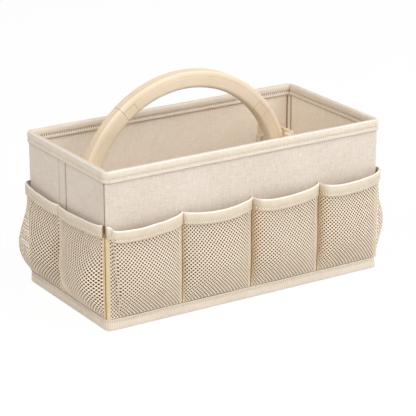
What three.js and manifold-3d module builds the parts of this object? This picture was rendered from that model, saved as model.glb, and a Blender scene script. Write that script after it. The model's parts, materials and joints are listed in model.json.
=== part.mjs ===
// Fabric storage caddy: an open linen-covered box of stiff boards with twelve net pockets round it
// and an arched handle that plugs into two moulded uprights riveted to the floor.
// Millimetres, +Z up. The origin is the middle of the underside, X runs along the long sides,
// and the front is the long side at -Y.
import * as THREE from "three";
import { mergeVertices } from "three/addons/utils/BufferGeometryUtils.js";
import Module from "manifold-3d";

const wasm = await Module();
wasm.setup();

// Whole caddy
const caddyLength = 300;
const caddyWidth = 150;
const caddyHeight = 150;
const cornerRadius = 6.5;
const seatGap = 0.3;
const cutOverrun = 1;

// Walls, each a board wrapped in linen
const boardThickness = 3;
const boardEase = 0.5;
const foldStripWidth = 12.4;
const foldStripSetback = 6.2;
const foldStripThickness = 1.5;
const foldCrease = 0.5;

// Sewn tapes round the rim and the foot
const tapeThickness = 0.9;
const hemHeight = 11;
const bindingHeight = 11;

// Floor: outer cloth, stiffening board and inner cloth
const bottomClothThickness = 1;
const floorBoardThickness = 3;
const floorClothThickness = 1;
const floorClearance = 0.5;

// Net pockets
const sidePocketCount = 4;
const endPocketCount = 2;
const netThickness = 0.8;
const pocketDrop = 50.7;
const sideSeamShift = 3.5;
const endSeamSetback = 11;
const pocketBulge = 15;
const mouthBulge = 7.5;
const endPocketBulge = 18;
const endMouthBulge = 7;
const mouthSag = 3.5;
const endMouthSag = 1.6;
const bandHeight = 10.5;
const bandThickness = 0.9;
const lowestBulgeShare = 0.38;
const flankPower = 3;
const flankSoftness = 0.3;
const bellyPower = 2;
const cornerBellyPower = 6;
const seamFlankSoftness = 0.5;
const seamBellyPower = 1.5;

// Arched handle: its feet stand off the two end walls, and its crown rises over the rim
const leftFootStandoff = 21.2;
const rightFootStandoff = 66.2;
const archRise = 55.6;
const archWidth = 12.7;
const archThickness = 16.5;
const archCorner = 3.5;
const domeDrop = 5.3;
const domeReach = 2.3;
const leftLegLength = 64.8;
const rightLegLength = 35;

// Lap joints inside the handle, each closed by a flush cap over its screw
const tenonWidth = 5.4;
const tenonThickness = 7;
const tenonLength = 17;
const capLength = 13;
const capThickness = 1.4;
const capOuterEdge = 5.5;
const capInnerEdge = 1.2;
const screwRadius = 1.1;
const screwHeadRadius = 2.4;
const screwHeadHeight = 1.2;
const screwReach = 4;

// Feet of the handle
const footThickness = 7.8;
const footWidth = 29.4;
const footLength = 26;
const footNeckLength = 10;

// Uprights
const socketDrop = 28.5;
const uprightDrop = 18;
const uprightWidth = 60;
const uprightCorner = 5;
const uprightWall = 3;
const channelWall = 2;
const ledgeWidth = 46;
const ledgeDepth = 6.5;
const ledgeWall = 2;
const ledgeTaper = 8;
const latchSlotWidth = 4;
const latchSlotLength = 18;
const flangeReach = 32;
const flangeThickness = 3;
const gussetHeight = 34;
const gussetInset = 8;

// Rivets that hold the uprights to the floor
const rivetRadius = 1.7;
const rivetHeadRadius = 4;
const rivetHeadHeight = 1.6;
const rivetTailHeight = 1;
const rivetInset = 6;
const rivetPitchLong = 17;
const rivetPitchWide = 24;

// Facets
const cornerSteps = 5;
const pocketColumns = 10;
const pocketRows = 7;
const archStepDegrees = 3;
const edgeSteps = 3;
const roundSteps = 10;
const rollSteps = 5;

// Places that follow from the sizes above
const halfLength = caddyLength / 2;
const halfWidth = caddyWidth / 2;
const wallInset = tapeThickness + seatGap;
const wallFoot = bottomClothThickness + seatGap;
const wallTop = caddyHeight - tapeThickness - seatGap;
const floorInset = wallInset + boardThickness + floorClearance;
const floorBoardTop = wallFoot + floorBoardThickness;
const floorClothFoot = floorBoardTop + seatGap;
const floorClothTop = floorClothFoot + floorClothThickness;
const pocketTop = caddyHeight - pocketDrop;
const pocketFoot = bindingHeight + seatGap;
const bandFootShare = 1 - bandHeight / (pocketTop - pocketFoot);
const socketTop = caddyHeight - socketDrop;
const uprightTop = caddyHeight - uprightDrop;
const uprightFoot = floorClothTop + seatGap;
const flangeTop = uprightFoot + flangeThickness;
const endWallFace = halfLength - wallInset - boardThickness;
const footReach = endWallFace - (leftFootStandoff + rightFootStandoff) / 2;
const archOffset = (leftFootStandoff - rightFootStandoff) / 2;
const archHeight = caddyHeight + archRise - archThickness / 2 - socketTop;
const archRadius = (footReach ** 2 + archHeight ** 2) / (2 * archHeight);
const archCentreHeight = socketTop + archHeight - archRadius;
const legOuterReach = Math.sqrt(
  (archRadius + archThickness / 2) ** 2 - (socketTop - archCentreHeight) ** 2,
);
const ledgeFace = footReach - footThickness / 2 - seatGap - ledgeWall;
const uprightFace = ledgeFace + ledgeDepth;
const channelBack = legOuterReach + 2 * seatGap;
const socketFloor = socketTop - footLength - seatGap;
const flangeEnd = uprightFace + uprightWall - flangeReach;

// Geometry helpers

function point(x, y) {
  return new THREE.Vector2(x, y);
}

function place(x, y, z) {
  return new THREE.Vector3(x, y, z);
}

// Signed volume of an indexed closed surface; it is negative where the faces point inwards.
function signedVolume(positions, indices) {
  let sum = 0;
  const corners = [new THREE.Vector3(), new THREE.Vector3(), new THREE.Vector3()];
  for (let i = 0; i < indices.length; i += 3) {
    corners.forEach((corner, j) => corner.fromArray(positions, 3 * indices[i + j]));
    sum += corners[0].dot(corners[1].clone().cross(corners[2])) / 6;
  }
  return sum;
}

// Joins a row of sections, each the same count of 2D points, into one closed surface.
// put(point, station) gives a section point its place. A looped row closes on itself.
function loft(sections, put, looped = false) {
  const wound = sections.map((section) =>
    THREE.ShapeUtils.isClockWise(sections[0]) ? [...section].reverse() : section,
  );
  const count = wound[0].length;
  const positions = wound.flatMap((section, station) =>
    section.flatMap((corner) => put(corner, station).toArray()),
  );
  const indices = [];
  const spans = looped ? wound.length : wound.length - 1;
  for (let i = 0; i < spans; i += 1) {
    const here = i * count;
    const next = ((i + 1) % wound.length) * count;
    for (let j = 0; j < count; j += 1) {
      const k = (j + 1) % count;
      indices.push(here + j, here + k, next + k);
      indices.push(here + j, next + k, next + j);
    }
  }
  if (!looped) {
    const last = (wound.length - 1) * count;
    THREE.ShapeUtils.triangulateShape(wound[0], []).forEach(([a, b, c]) => {
      indices.push(c, b, a);
    });
    THREE.ShapeUtils.triangulateShape(wound.at(-1), []).forEach(([a, b, c]) => {
      indices.push(last + a, last + b, last + c);
    });
  }
  if (signedVolume(positions, indices) < 0) indices.reverse();
  const geometry = new THREE.BufferGeometry();
  geometry.setAttribute("position", new THREE.Float32BufferAttribute(positions, 3));
  geometry.setIndex(indices);
  return geometry;
}

function solidOf(geometry) {
  const bare = geometry.clone();
  bare.deleteAttribute("normal");
  bare.deleteAttribute("uv");
  const merged = mergeVertices(bare);
  return new wasm.Manifold(
    new wasm.Mesh({
      numProp: 3,
      vertProperties: merged.attributes.position.array,
      triVerts: new Uint32Array(merged.index.array),
    }),
  );
}

function geometryOf(solid) {
  const mesh = solid.getMesh();
  const geometry = new THREE.BufferGeometry();
  geometry.setAttribute("position", new THREE.BufferAttribute(mesh.vertProperties, 3));
  geometry.setIndex(new THREE.BufferAttribute(mesh.triVerts, 1));
  return geometry;
}

// A solid block between two corners.
function block(low, high) {
  const size = high.clone().sub(low);
  const geometry = new THREE.BoxGeometry(size.x, size.y, size.z);
  const middle = low.clone().add(high).divideScalar(2);
  return solidOf(geometry.translate(middle.x, middle.y, middle.z));
}

// An outline drawn on the floor plan, raised from one height to another.
function raised(outline, foot, top) {
  const geometry = new THREE.ExtrudeGeometry(outline, {
    depth: top - foot,
    bevelEnabled: false,
    curveSegments: cornerSteps,
  });
  return geometry.translate(0, 0, foot);
}

// An outline drawn in X and Z, drawn out along Y between two places.
function drawnAcross(outline, from, to) {
  const geometry = new THREE.ExtrudeGeometry(outline, {
    depth: to - from,
    bevelEnabled: false,
    curveSegments: cornerSteps,
  });
  return geometry.rotateX(Math.PI / 2).translate(0, to, 0);
}

// An outline drawn in Y and Z, drawn out along X between two places.
function drawnAlong(outline, from, to) {
  const geometry = new THREE.ExtrudeGeometry(outline, {
    depth: to - from,
    bevelEnabled: false,
    curveSegments: cornerSteps,
  });
  return geometry.rotateX(Math.PI / 2).rotateZ(Math.PI / 2).translate(from, 0, 0);
}

function roundedRectangle(left, bottom, right, top, radius) {
  const shape = new THREE.Shape();
  shape.moveTo(left + radius, bottom);
  shape.lineTo(right - radius, bottom);
  shape.absarc(right - radius, bottom + radius, radius, -Math.PI / 2, 0);
  shape.lineTo(right, top - radius);
  shape.absarc(right - radius, top - radius, radius, 0, Math.PI / 2);
  shape.lineTo(left + radius, top);
  shape.absarc(left + radius, top - radius, radius, Math.PI / 2, Math.PI);
  shape.lineTo(left, bottom + radius);
  shape.absarc(left + radius, bottom + radius, radius, Math.PI, 1.5 * Math.PI);
  return shape;
}

// Materials

const linen = new THREE.MeshStandardMaterial({ color: "#ddd0bb", roughness: 0.95, metalness: 0 });
const sewnTape = new THREE.MeshStandardMaterial({ color: "#e3d7c3", roughness: 0.9, metalness: 0 });
const net = new THREE.MeshStandardMaterial({ color: "#e2d2b0", roughness: 0.85, metalness: 0 });
const pocketTape = new THREE.MeshStandardMaterial({
  color: "#eadcbd",
  roughness: 0.8,
  metalness: 0,
});
const cream = new THREE.MeshStandardMaterial({ color: "#edd6b5", roughness: 0.45, metalness: 0 });
const greyBoard = new THREE.MeshStandardMaterial({
  color: "#8d867a",
  roughness: 0.95,
  metalness: 0,
});
const steel = new THREE.MeshStandardMaterial({ color: "#b9bbbd", roughness: 0.35, metalness: 1 });

const caddy = new THREE.Group();

function piece(name, geometry, material, parent = caddy) {
  const mesh = new THREE.Mesh(geometry, material.clone());
  mesh.name = name;
  parent.add(mesh);
  return mesh;
}

// The four sides, each turned from the front about the middle of the caddy. On the two ends,
// backward is the way along the side that leads to the caddy's back.

const sides = [
  { name: "front", turns: 0, backward: 0, pockets: sidePocketCount },
  { name: "right", turns: 1, backward: 1, pockets: endPocketCount },
  { name: "back", turns: 2, backward: 0, pockets: sidePocketCount },
  { name: "left", turns: 3, backward: -1, pockets: endPocketCount },
];
for (const side of sides) {
  const isEnd = side.backward !== 0;
  side.run = isEnd ? halfWidth : halfLength;
  side.reach = isEnd ? halfLength : halfWidth;
  side.seamShift = isEnd ? side.backward * endSeamSetback : sideSeamShift;
  side.pocketBulge = isEnd ? endPocketBulge : pocketBulge;
  side.mouthBulge = isEnd ? endMouthBulge : mouthBulge;
  side.mouthSag = isEnd ? endMouthSag : mouthSag;
  side.group = new THREE.Group();
  side.group.rotation.z = (side.turns * Math.PI) / 2;
  caddy.add(side.group);
}

// A linen-wrapped board that stands between two places along its side, with eased edges.
function wrappedBoard(from, to, reach) {
  const shape = new THREE.Shape();
  shape.moveTo(from, wallFoot);
  shape.lineTo(to, wallFoot);
  shape.lineTo(to, wallTop);
  shape.lineTo(from, wallTop);
  const geometry = new THREE.ExtrudeGeometry(shape, {
    depth: boardThickness - 2 * boardEase,
    bevelEnabled: true,
    bevelThickness: boardEase,
    bevelSize: boardEase,
    bevelOffset: -boardEase,
    bevelSegments: 2,
  });
  return geometry.rotateX(Math.PI / 2).translate(0, boardThickness - boardEase - reach, 0);
}

// The cloth hinge between two half boards: thinner than they are, and creased inwards.
function foldStrip(middle, reach) {
  const half = foldStripWidth / 2 - seatGap;
  const outer = (boardThickness - foldStripThickness) / 2 - reach;
  const inner = outer + foldStripThickness;
  const shape = new THREE.Shape([
    point(middle - half, outer),
    point(middle, outer + foldCrease),
    point(middle + half, outer),
    point(middle + half, inner),
    point(middle, inner + foldCrease),
    point(middle - half, inner),
  ]);
  return raised(shape, wallFoot, wallTop);
}

for (const side of sides) {
  const end = side.run - cornerRadius - seatGap;
  const reach = side.reach - wallInset;
  if (side.backward === 0) {
    piece(`${side.name}_panel`, wrappedBoard(-end, end, reach), linen, side.group);
    continue;
  }
  const [first, second] = side.name === "right" ? ["front", "back"] : ["back", "front"];
  const middle = side.backward * foldStripSetback;
  const low = middle - foldStripWidth / 2;
  const high = middle + foldStripWidth / 2;
  piece(`${side.name}_panel_${first}_half`, wrappedBoard(-end, low, reach), linen, side.group);
  piece(`${side.name}_panel_${second}_half`, wrappedBoard(high, end, reach), linen, side.group);
  piece(`${side.name}_fold_strip`, foldStrip(middle, reach), linen, side.group);
}

// Stations round the corners of the plan, in order: each has the corner's centre and a direction.
const cornerStations = ["back_right", "back_left", "front_left", "front_right"].map(
  (name, corner) => {
    const signs = [
      [1, 1],
      [-1, 1],
      [-1, -1],
      [1, -1],
    ][corner];
    const stations = [];
    for (let i = 0; i <= cornerSteps; i += 1) {
      stations.push({
        x: signs[0] * (halfLength - cornerRadius),
        y: signs[1] * (halfWidth - cornerRadius),
        angle: ((corner + i / cornerSteps) * Math.PI) / 2,
      });
    }
    return { name, stations };
  },
);

// Carries a section round the given stations. Its x is counted outwards from the caddy's edge.
function roundCorners(section, stations, looped) {
  const put = (corner, i) => {
    const radius = cornerRadius + corner.x;
    return place(
      stations[i].x + radius * Math.cos(stations[i].angle),
      stations[i].y + radius * Math.sin(stations[i].angle),
      corner.y,
    );
  };
  return loft(
    stations.map(() => section),
    put,
    looped,
  );
}

// Cloth corners that join the boards
const cornerSection = [
  point(-wallInset - boardThickness, wallFoot),
  point(-wallInset, wallFoot),
  point(-wallInset, wallTop),
  point(-wallInset - boardThickness, wallTop),
];
for (const { name, stations } of cornerStations) {
  piece(`corner_seam_${name}`, roundCorners(cornerSection, stations, false), linen);
}

// Rim hem: one tape folded over the top edge of the walls
function hemSection() {
  const spread = 2 * wallInset + boardThickness;
  const foot = caddyHeight - hemHeight;
  const outer = [];
  const inner = [];
  for (let i = 0; i <= rollSteps; i += 1) {
    const angle = (i / rollSteps) * Math.PI;
    const across = (1 - Math.cos(angle)) / 2;
    const up = Math.sin(angle);
    const roll = tapeThickness + seatGap;
    outer.push(point(-spread * across, caddyHeight - roll + roll * up));
    inner.push(
      point(
        -tapeThickness - (spread - 2 * tapeThickness) * across,
        caddyHeight - roll + seatGap * up,
      ),
    );
  }
  return [
    point(0, foot),
    ...outer,
    point(-spread, foot),
    point(tapeThickness - spread, foot),
    ...inner.reverse(),
    point(-tapeThickness, foot),
  ];
}
const everyStation = cornerStations.flatMap(({ stations }) => stations);
piece("rim_hem", roundCorners(hemSection(), everyStation, true), sewnTape);

// Bottom binding: a tape round the foot of the walls, rolled at its lower edge
const bindingSection = [
  point(-tapeThickness, 0),
  point(-tapeThickness / 2, 0),
  point(-tapeThickness / 6, tapeThickness / 3),
  point(0, tapeThickness),
  point(0, bindingHeight),
  point(-tapeThickness, bindingHeight),
];
piece("bottom_binding", roundCorners(bindingSection, everyStation, true), sewnTape);

// Rivets stand in two rows on each upright's flange
const rivetPlaces = [];
for (const end of [1, -1]) {
  for (const along of [0, 1]) {
    for (const across of [1, -1]) {
      rivetPlaces.push({
        x: archOffset + end * (flangeEnd + rivetInset + along * rivetPitchLong),
        y: end * across * (rivetPitchWide / 2),
      });
    }
  }
}

function floorOutline(inset) {
  return roundedRectangle(
    inset - halfLength,
    inset - halfWidth,
    halfLength - inset,
    halfWidth - inset,
    cornerRadius - inset > seatGap ? cornerRadius - inset : seatGap,
  );
}

// A floor layer with the rivet holes through it.
function floorLayer(foot, top) {
  const outline = floorOutline(floorInset);
  for (const rivet of rivetPlaces) {
    const hole = new THREE.Path();
    hole.absarc(rivet.x, rivet.y, rivetRadius + seatGap, 0, 2 * Math.PI, true);
    outline.holes.push(hole);
  }
  return raised(outline, foot, top);
}

piece("bottom_cloth", raised(floorOutline(wallInset), 0, bottomClothThickness), linen);
piece("floor_cloth", floorLayer(floorClothFoot, floorClothTop), linen);

let floorBoard = solidOf(floorLayer(wallFoot, floorBoardTop));
for (const rivet of rivetPlaces) {
  const radius = rivetHeadRadius + seatGap;
  const depth = rivetTailHeight + 2 * seatGap;
  const sink = new THREE.CylinderGeometry(radius, radius, depth + cutOverrun, roundSteps);
  sink.rotateX(Math.PI / 2);
  sink.translate(rivet.x, rivet.y, wallFoot + (depth - cutOverrun) / 2);
  floorBoard = floorBoard.subtract(solidOf(sink));
}
piece("floor_board", geometryOf(floorBoard), greyBoard);

rivetPlaces.forEach((rivet, i) => {
  const tail = wallFoot + seatGap;
  const neck = tail + rivetTailHeight;
  const seat = flangeTop + seatGap;
  const crown = seat + rivetHeadHeight;
  const profile = [
    point(0, tail),
    point(rivetHeadRadius, tail),
    point(rivetHeadRadius, neck),
    point(rivetRadius, neck),
    point(rivetRadius, seat),
    point(rivetHeadRadius, seat),
    point(rivetHeadRadius * Math.cos(Math.PI / 6), seat + rivetHeadHeight / 2),
    point(rivetHeadRadius / 2, crown - rivetHeadHeight / 8),
    point(0, crown),
  ];
  const geometry = new THREE.LatheGeometry(profile, roundSteps).rotateX(Math.PI / 2);
  geometry.translate(rivet.x, rivet.y, 0);
  piece(`rivet_${i + 1}`, geometryOf(solidOf(geometry)), steel);
});

// Net pockets. A pocket's net stands off its wall by steep flanks, which are as deep as its mouth
// stands open, and by a belly that swells low down and has gone where the tape begins. Both die out
// at the seams and at the foot, and the mouth's edge sags between the seams. On the ends the pockets
// rise steeply from the caddy's corners and softly from the seam between them.

function pocketBulgeAt(side, acrossShare, heightShare, cornerward) {
  const signed = 2 * acrossShare - 1;
  const fromMiddle = Math.abs(signed);
  const isSeam = cornerward !== 0 && signed * cornerward < 0;
  const softness = isSeam ? seamFlankSoftness : flankSoftness;
  const power = cornerward === 0 ? bellyPower : isSeam ? seamBellyPower : cornerBellyPower;
  const flank = (1 - fromMiddle ** flankPower) ** softness;
  const belly = (side.pocketBulge - side.mouthBulge) * (1 - fromMiddle ** power);
  if (heightShare < lowestBulgeShare) {
    const rise = 1 - (1 - heightShare / lowestBulgeShare) ** 2;
    return rise * (side.mouthBulge * flank + belly);
  }
  const t = Math.min(1, (heightShare - lowestBulgeShare) / (bandFootShare - lowestBulgeShare));
  const eased = t * t * (3 - 2 * t);
  return side.mouthBulge * flank + belly * (1 - eased);
}

// cornerward tells which end of a pocket is at a corner of the caddy, and 0 treats both alike.
function pocketStations(from, to, sag, cornerward) {
  const stations = [];
  for (let i = 0; i <= pocketColumns; i += 1) {
    const share = (1 - Math.cos((Math.PI * i) / pocketColumns)) / 2;
    stations.push({
      share,
      along: from + (to - from) * share,
      mouth: pocketTop - sag * Math.sin(Math.PI * share),
      cornerward,
    });
  }
  return stations;
}

// Puts a pocket section, whose x is counted outwards from the wall's face, on its side.
function onSide(stations, reach) {
  return (corner, i) => place(stations[i].along, -reach - corner.x, corner.y);
}

function netSection(side, station) {
  const inner = [];
  const outer = [];
  for (let i = 0; i <= pocketRows; i += 1) {
    const height = pocketFoot + ((station.mouth - pocketFoot) * i) / pocketRows;
    const bulge = pocketBulgeAt(side, station.share, i / pocketRows, station.cornerward);
    const offset = seatGap + bulge;
    inner.push(point(offset, height));
    outer.push(point(offset + netThickness, height));
  }
  return [...outer, ...inner.reverse()];
}

// The tape over the net's upper edge: an outer leaf and a lip that covers the edge.
function bandSection(side, station) {
  const full = station.mouth - pocketFoot;
  const skin = seatGap + netThickness + seatGap;
  const at = (height) =>
    pocketBulgeAt(side, station.share, (height - pocketFoot) / full, station.cornerward);
  const foot = station.mouth - bandHeight;
  const middle = station.mouth - bandHeight / 2;
  const crown = station.mouth + seatGap + bandThickness;
  const mouth = at(station.mouth);
  return [
    point(at(foot) + skin, foot),
    point(at(foot) + skin + bandThickness, foot),
    point(at(middle) + skin + bandThickness, middle),
    point(mouth + skin + bandThickness, crown - bandThickness / 2),
    point(mouth + skin + bandThickness / 2, crown),
    point(mouth + seatGap, crown),
    point(mouth + seatGap, station.mouth + seatGap),
    point(mouth + skin, station.mouth + seatGap),
    point(at(middle) + skin, middle),
  ];
}

for (const side of sides) {
  const reach = side.reach - wallInset;
  const outermost = side.run - wallInset;
  const firstSeam = side.seamShift - side.run;
  const width = (2 * side.run) / side.pockets;
  for (let i = 0; i < side.pockets; i += 1) {
    const isLast = i === side.pockets - 1;
    const from = i === 0 ? -outermost : firstSeam + width * i + seatGap;
    const to = isLast ? outermost : firstSeam + width * (i + 1) - seatGap;
    const cornerward = side.backward === 0 ? 0 : isLast ? 1 : -1;
    const stations = pocketStations(from, to, side.mouthSag, cornerward);
    const put = onSide(stations, reach);
    const number = i + 1;
    const nets = stations.map((station) => netSection(side, station));
    const bands = stations.map((station) => bandSection(side, station));
    piece(`pocket_net_${side.name}_${number}`, loft(nets, put), net, side.group);
    piece(`pocket_band_${side.name}_${number}`, loft(bands, put), pocketTape, side.group);
  }
}

// Handle arch

function degrees(value) {
  return (value * Math.PI) / 180;
}

function archDegrees(length) {
  return length / archRadius / degrees(1);
}

// A section of the arch, x outwards from its centreline and y across its width. Its inner edges
// are round. Its outer ones are too, unless they fall off as a dome by a drop over a reach.
function archSection(thickness, width, corner, drop = corner, reach = corner) {
  const section = [];
  const centres = [
    [1, 1],
    [-1, 1],
    [-1, -1],
    [1, -1],
  ];
  centres.forEach(([outward, across], quarter) => {
    for (let i = 0; i <= edgeSteps; i += 1) {
      const angle = ((quarter + i / edgeSteps) * Math.PI) / 2;
      const deep = outward > 0 ? drop : corner;
      const wide = outward > 0 ? reach : corner;
      section.push(
        point(
          outward * (thickness / 2 - deep) + deep * Math.cos(angle),
          across * (width / 2 - wide) + wide * Math.sin(angle),
        ),
      );
    }
  });
  return section;
}

function boxSection(inward, outward, front, back) {
  return [
    point(inward, front),
    point(outward, front),
    point(outward, back),
    point(inward, back),
  ];
}

// Sweeps a section along the arch between two angles, measured from its right-hand end.
function alongArch(section, from, to) {
  const steps = Math.max(1, Math.round(Math.abs(to - from) / archStepDegrees));
  const angles = [];
  for (let i = 0; i <= steps; i += 1) {
    angles.push(degrees(from + ((to - from) * i) / steps));
  }
  const put = (corner, i) =>
    place(
      (archRadius + corner.x) * Math.cos(angles[i]),
      corner.y,
      archCentreHeight + (archRadius + corner.x) * Math.sin(angles[i]),
    );
  return solidOf(
    loft(
      angles.map(() => section),
      put,
    ),
  );
}

const wholeSection = archSection(archThickness, archWidth, archCorner, domeDrop, domeReach);
const seamGapDegrees = archDegrees(seatGap);
const tenonDegrees = archDegrees(tenonLength);
const capDegrees = archDegrees(capLength);
const socketDegrees = Math.asin((socketTop - archCentreHeight) / archRadius) / degrees(1);

// The two joints: the seam's angle on the arch, and which way the grip lies from it.
const rightSeam = socketDegrees + archDegrees(rightLegLength);
const leftSeam = socketDegrees + archDegrees(leftLegLength);
const joints = [
  { name: "right", seam: rightSeam, towardsGrip: 1, legSeam: rightSeam },
  { name: "left", seam: 180 - leftSeam, towardsGrip: -1, legSeam: leftSeam },
];

// Screw axis: in the middle of the cap, square to the front face.
function screwPlace(joint) {
  const angle = degrees(joint.seam + joint.towardsGrip * (seamGapDegrees + capDegrees / 2));
  return place(archRadius * Math.cos(angle), 0, archCentreHeight + archRadius * Math.sin(angle));
}

function rodAcross(centre, radius, from, to) {
  const rod = new THREE.CylinderGeometry(radius, radius, to - from, roundSteps);
  return solidOf(rod.translate(centre.x, (from + to) / 2, centre.z));
}

// One leg, built as the right-hand one: the arch from its seam to the socket, a tenon that plugs
// into the grip, and a foot with a narrow neck and a wide tongue for the socket.
function leg(seam) {
  const below = socketDegrees - archDegrees(archThickness);
  const shoulder = socketTop + seatGap;
  const belowShoulder = block(
    place(0, -archWidth, archCentreHeight - archRadius),
    place(archRadius + archThickness, archWidth, shoulder),
  );
  const shaft = alongArch(wholeSection, below, seam - seamGapDegrees / 2).subtract(belowShoulder);
  const tenonSection = archSection(tenonThickness, tenonWidth, boardEase);
  const tenon = alongArch(tenonSection, seam - tenonDegrees / 2, seam + tenonDegrees);
  const neck = block(
    place(footReach - footThickness / 2, -archWidth / 2, socketTop - footNeckLength - seatGap),
    place(footReach + footThickness / 2, archWidth / 2, shoulder + seatGap),
  );
  const tongue = block(
    place(footReach - footThickness / 2, -footWidth / 2, socketTop - footLength),
    place(footReach + footThickness / 2, footWidth / 2, socketTop - footNeckLength),
  );
  const screwAt = screwPlace({ seam, towardsGrip: 1 });
  const bore = rodAcross(screwAt, screwRadius + seatGap, -archWidth, archWidth);
  return geometryOf(shaft.add(tenon).add(neck).add(tongue).subtract(bore));
}

// The space of a cap in the front face, between the arch's two edges, grown by some room.
function capSpace(joint, room) {
  const section = boxSection(
    capInnerEdge - archThickness / 2 - room,
    archThickness / 2 - capOuterEdge + room,
    -archWidth / 2 - cutOverrun,
    capThickness + room - archWidth / 2,
  );
  const near = seamGapDegrees - archDegrees(room);
  const far = seamGapDegrees + capDegrees + archDegrees(room);
  return alongArch(
    section,
    joint.seam + joint.towardsGrip * near,
    joint.seam + joint.towardsGrip * far,
  );
}

const [rightJoint, leftJoint] = joints;
let grip = alongArch(
  wholeSection,
  rightJoint.seam + seamGapDegrees / 2,
  leftJoint.seam - seamGapDegrees / 2,
);
for (const joint of joints) {
  const { name, seam, towardsGrip } = joint;
  const room = archSection(
    tenonThickness + 2 * seatGap,
    tenonWidth + 2 * seatGap,
    boardEase + seatGap,
  );
  const socket = alongArch(
    room,
    seam - towardsGrip * seamGapDegrees,
    seam + towardsGrip * (tenonDegrees + seamGapDegrees),
  );
  const centre = screwPlace(joint);
  const recess = seatGap + capThickness - archWidth / 2;
  const sink = rodAcross(centre, screwHeadRadius + seatGap, recess - seatGap, recess + screwHeadHeight);
  const hole = rodAcross(centre, screwRadius + seatGap, recess, 0);
  grip = grip.subtract(socket.add(capSpace(joint, seatGap)).add(sink).add(hole));

  const capEnd = seam + towardsGrip * (capDegrees + 2 * seamGapDegrees);
  const cap = alongArch(wholeSection, seam, capEnd).intersect(capSpace(joint, 0));
  piece(`${name}_seam_cap`, geometryOf(cap), cream).position.x = archOffset;

  const screw = new THREE.LatheGeometry(
    [
      point(0, 0),
      point(screwHeadRadius, 0),
      point(screwHeadRadius, screwHeadHeight - seatGap),
      point(screwRadius, screwHeadHeight - seatGap),
      point(screwRadius, screwHeadHeight + screwReach),
      point(0, screwHeadHeight + screwReach + screwRadius),
    ],
    roundSteps,
  );
  const screwPiece = piece(`${name}_seam_screw`, geometryOf(solidOf(screw)), steel);
  screwPiece.position.set(archOffset + centre.x, recess, centre.z);

  const legPiece = piece(`${name}_leg`, leg(joint.legSeam), cream);
  legPiece.position.x = archOffset;
  legPiece.rotation.z = towardsGrip > 0 ? 0 : Math.PI;
}
piece("grip", geometryOf(grip), cream).position.x = archOffset;

// Uprights. Each is a moulded plate with a channel behind the leg, a ledge in front that holds the
// foot's socket with a latch tongue between two slots, and a flange with gussets on the floor.
function upright() {
  const half = uprightWidth / 2;
  const back = uprightFace + uprightWall;
  const cheekInner = footWidth / 2 + seatGap;
  const cheekOuter = cheekInner + channelWall;
  const channelOuter = channelBack + channelWall;
  const plan = new THREE.Shape([
    point(uprightFace, -half),
    point(back, -half),
    point(back, -cheekOuter),
    point(channelOuter, -cheekOuter),
    point(channelOuter, cheekOuter),
    point(back, cheekOuter),
    point(back, half),
    point(uprightFace, half),
    point(uprightFace, cheekInner),
    point(channelBack, cheekInner),
    point(channelBack, -cheekInner),
    point(uprightFace, -cheekInner),
  ]);
  const outline = roundedRectangle(-half, uprightFoot - uprightTop, half, uprightTop, uprightCorner);
  let solid = solidOf(raised(plan, uprightFoot, uprightTop));
  solid = solid.intersect(
    solidOf(drawnAlong(outline, uprightFace - cutOverrun, channelOuter + cutOverrun)),
  );

  const ledgeFoot = socketFloor - ledgeWall;
  const inside = uprightFace + uprightWall / 2;
  const ledge = new THREE.Shape([
    point(ledgeFace, ledgeFoot),
    point(inside, ledgeFoot - ledgeTaper),
    point(inside, socketTop),
    point(ledgeFace, socketTop),
  ]);
  solid = solid.add(solidOf(drawnAcross(ledge, -ledgeWidth / 2, ledgeWidth / 2)));
  solid = solid.add(
    block(
      place(uprightFace, -cheekInner - channelWall / 2, ledgeFoot),
      place(channelBack + channelWall / 2, cheekInner + channelWall / 2, socketTop),
    ),
  );
  const boreHalf = footThickness / 2 + seatGap;
  solid = solid.subtract(
    block(
      place(footReach - boreHalf, -cheekInner, socketFloor),
      place(footReach + boreHalf, cheekInner, socketTop + cutOverrun),
    ),
  );
  for (const hand of [1, -1]) {
    const slotOuter = cheekInner - seatGap;
    const edges = [hand * slotOuter, hand * (slotOuter - latchSlotWidth)];
    solid = solid.subtract(
      block(
        place(ledgeFace - cutOverrun, Math.min(...edges), socketTop - latchSlotLength),
        place(footReach, Math.max(...edges), socketTop + cutOverrun),
      ),
    );
  }

  const flange = roundedRectangle(flangeEnd, -half, back, half, uprightCorner);
  for (const rivet of rivetPlaces) {
    if (rivet.x < archOffset) continue;
    const hole = new THREE.Path();
    hole.absarc(rivet.x - archOffset, rivet.y, rivetRadius + seatGap, 0, 2 * Math.PI, true);
    flange.holes.push(hole);
  }
  solid = solid.add(solidOf(raised(flange, uprightFoot, flangeTop)));
  const gusset = new THREE.Shape([
    point(flangeEnd + uprightCorner, uprightFoot + flangeThickness / 2),
    point(inside, uprightFoot + flangeThickness / 2),
    point(inside, flangeTop + gussetHeight),
  ]);
  for (const hand of [1, -1]) {
    const middle = hand * (half - gussetInset);
    const rib = drawnAcross(gusset, middle - channelWall / 2, middle + channelWall / 2);
    solid = solid.add(solidOf(rib));
  }
  return geometryOf(solid);
}

const uprightGeometry = upright();
for (const { name, towardsGrip } of joints) {
  const mesh = piece(`${name}_upright`, uprightGeometry, cream);
  mesh.position.x = archOffset;
  mesh.rotation.z = towardsGrip > 0 ? 0 : Math.PI;
}

export default caddy;
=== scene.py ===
import json
import math
from contextlib import contextmanager

import bmesh
import bpy
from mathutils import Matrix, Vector, noise

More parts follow.
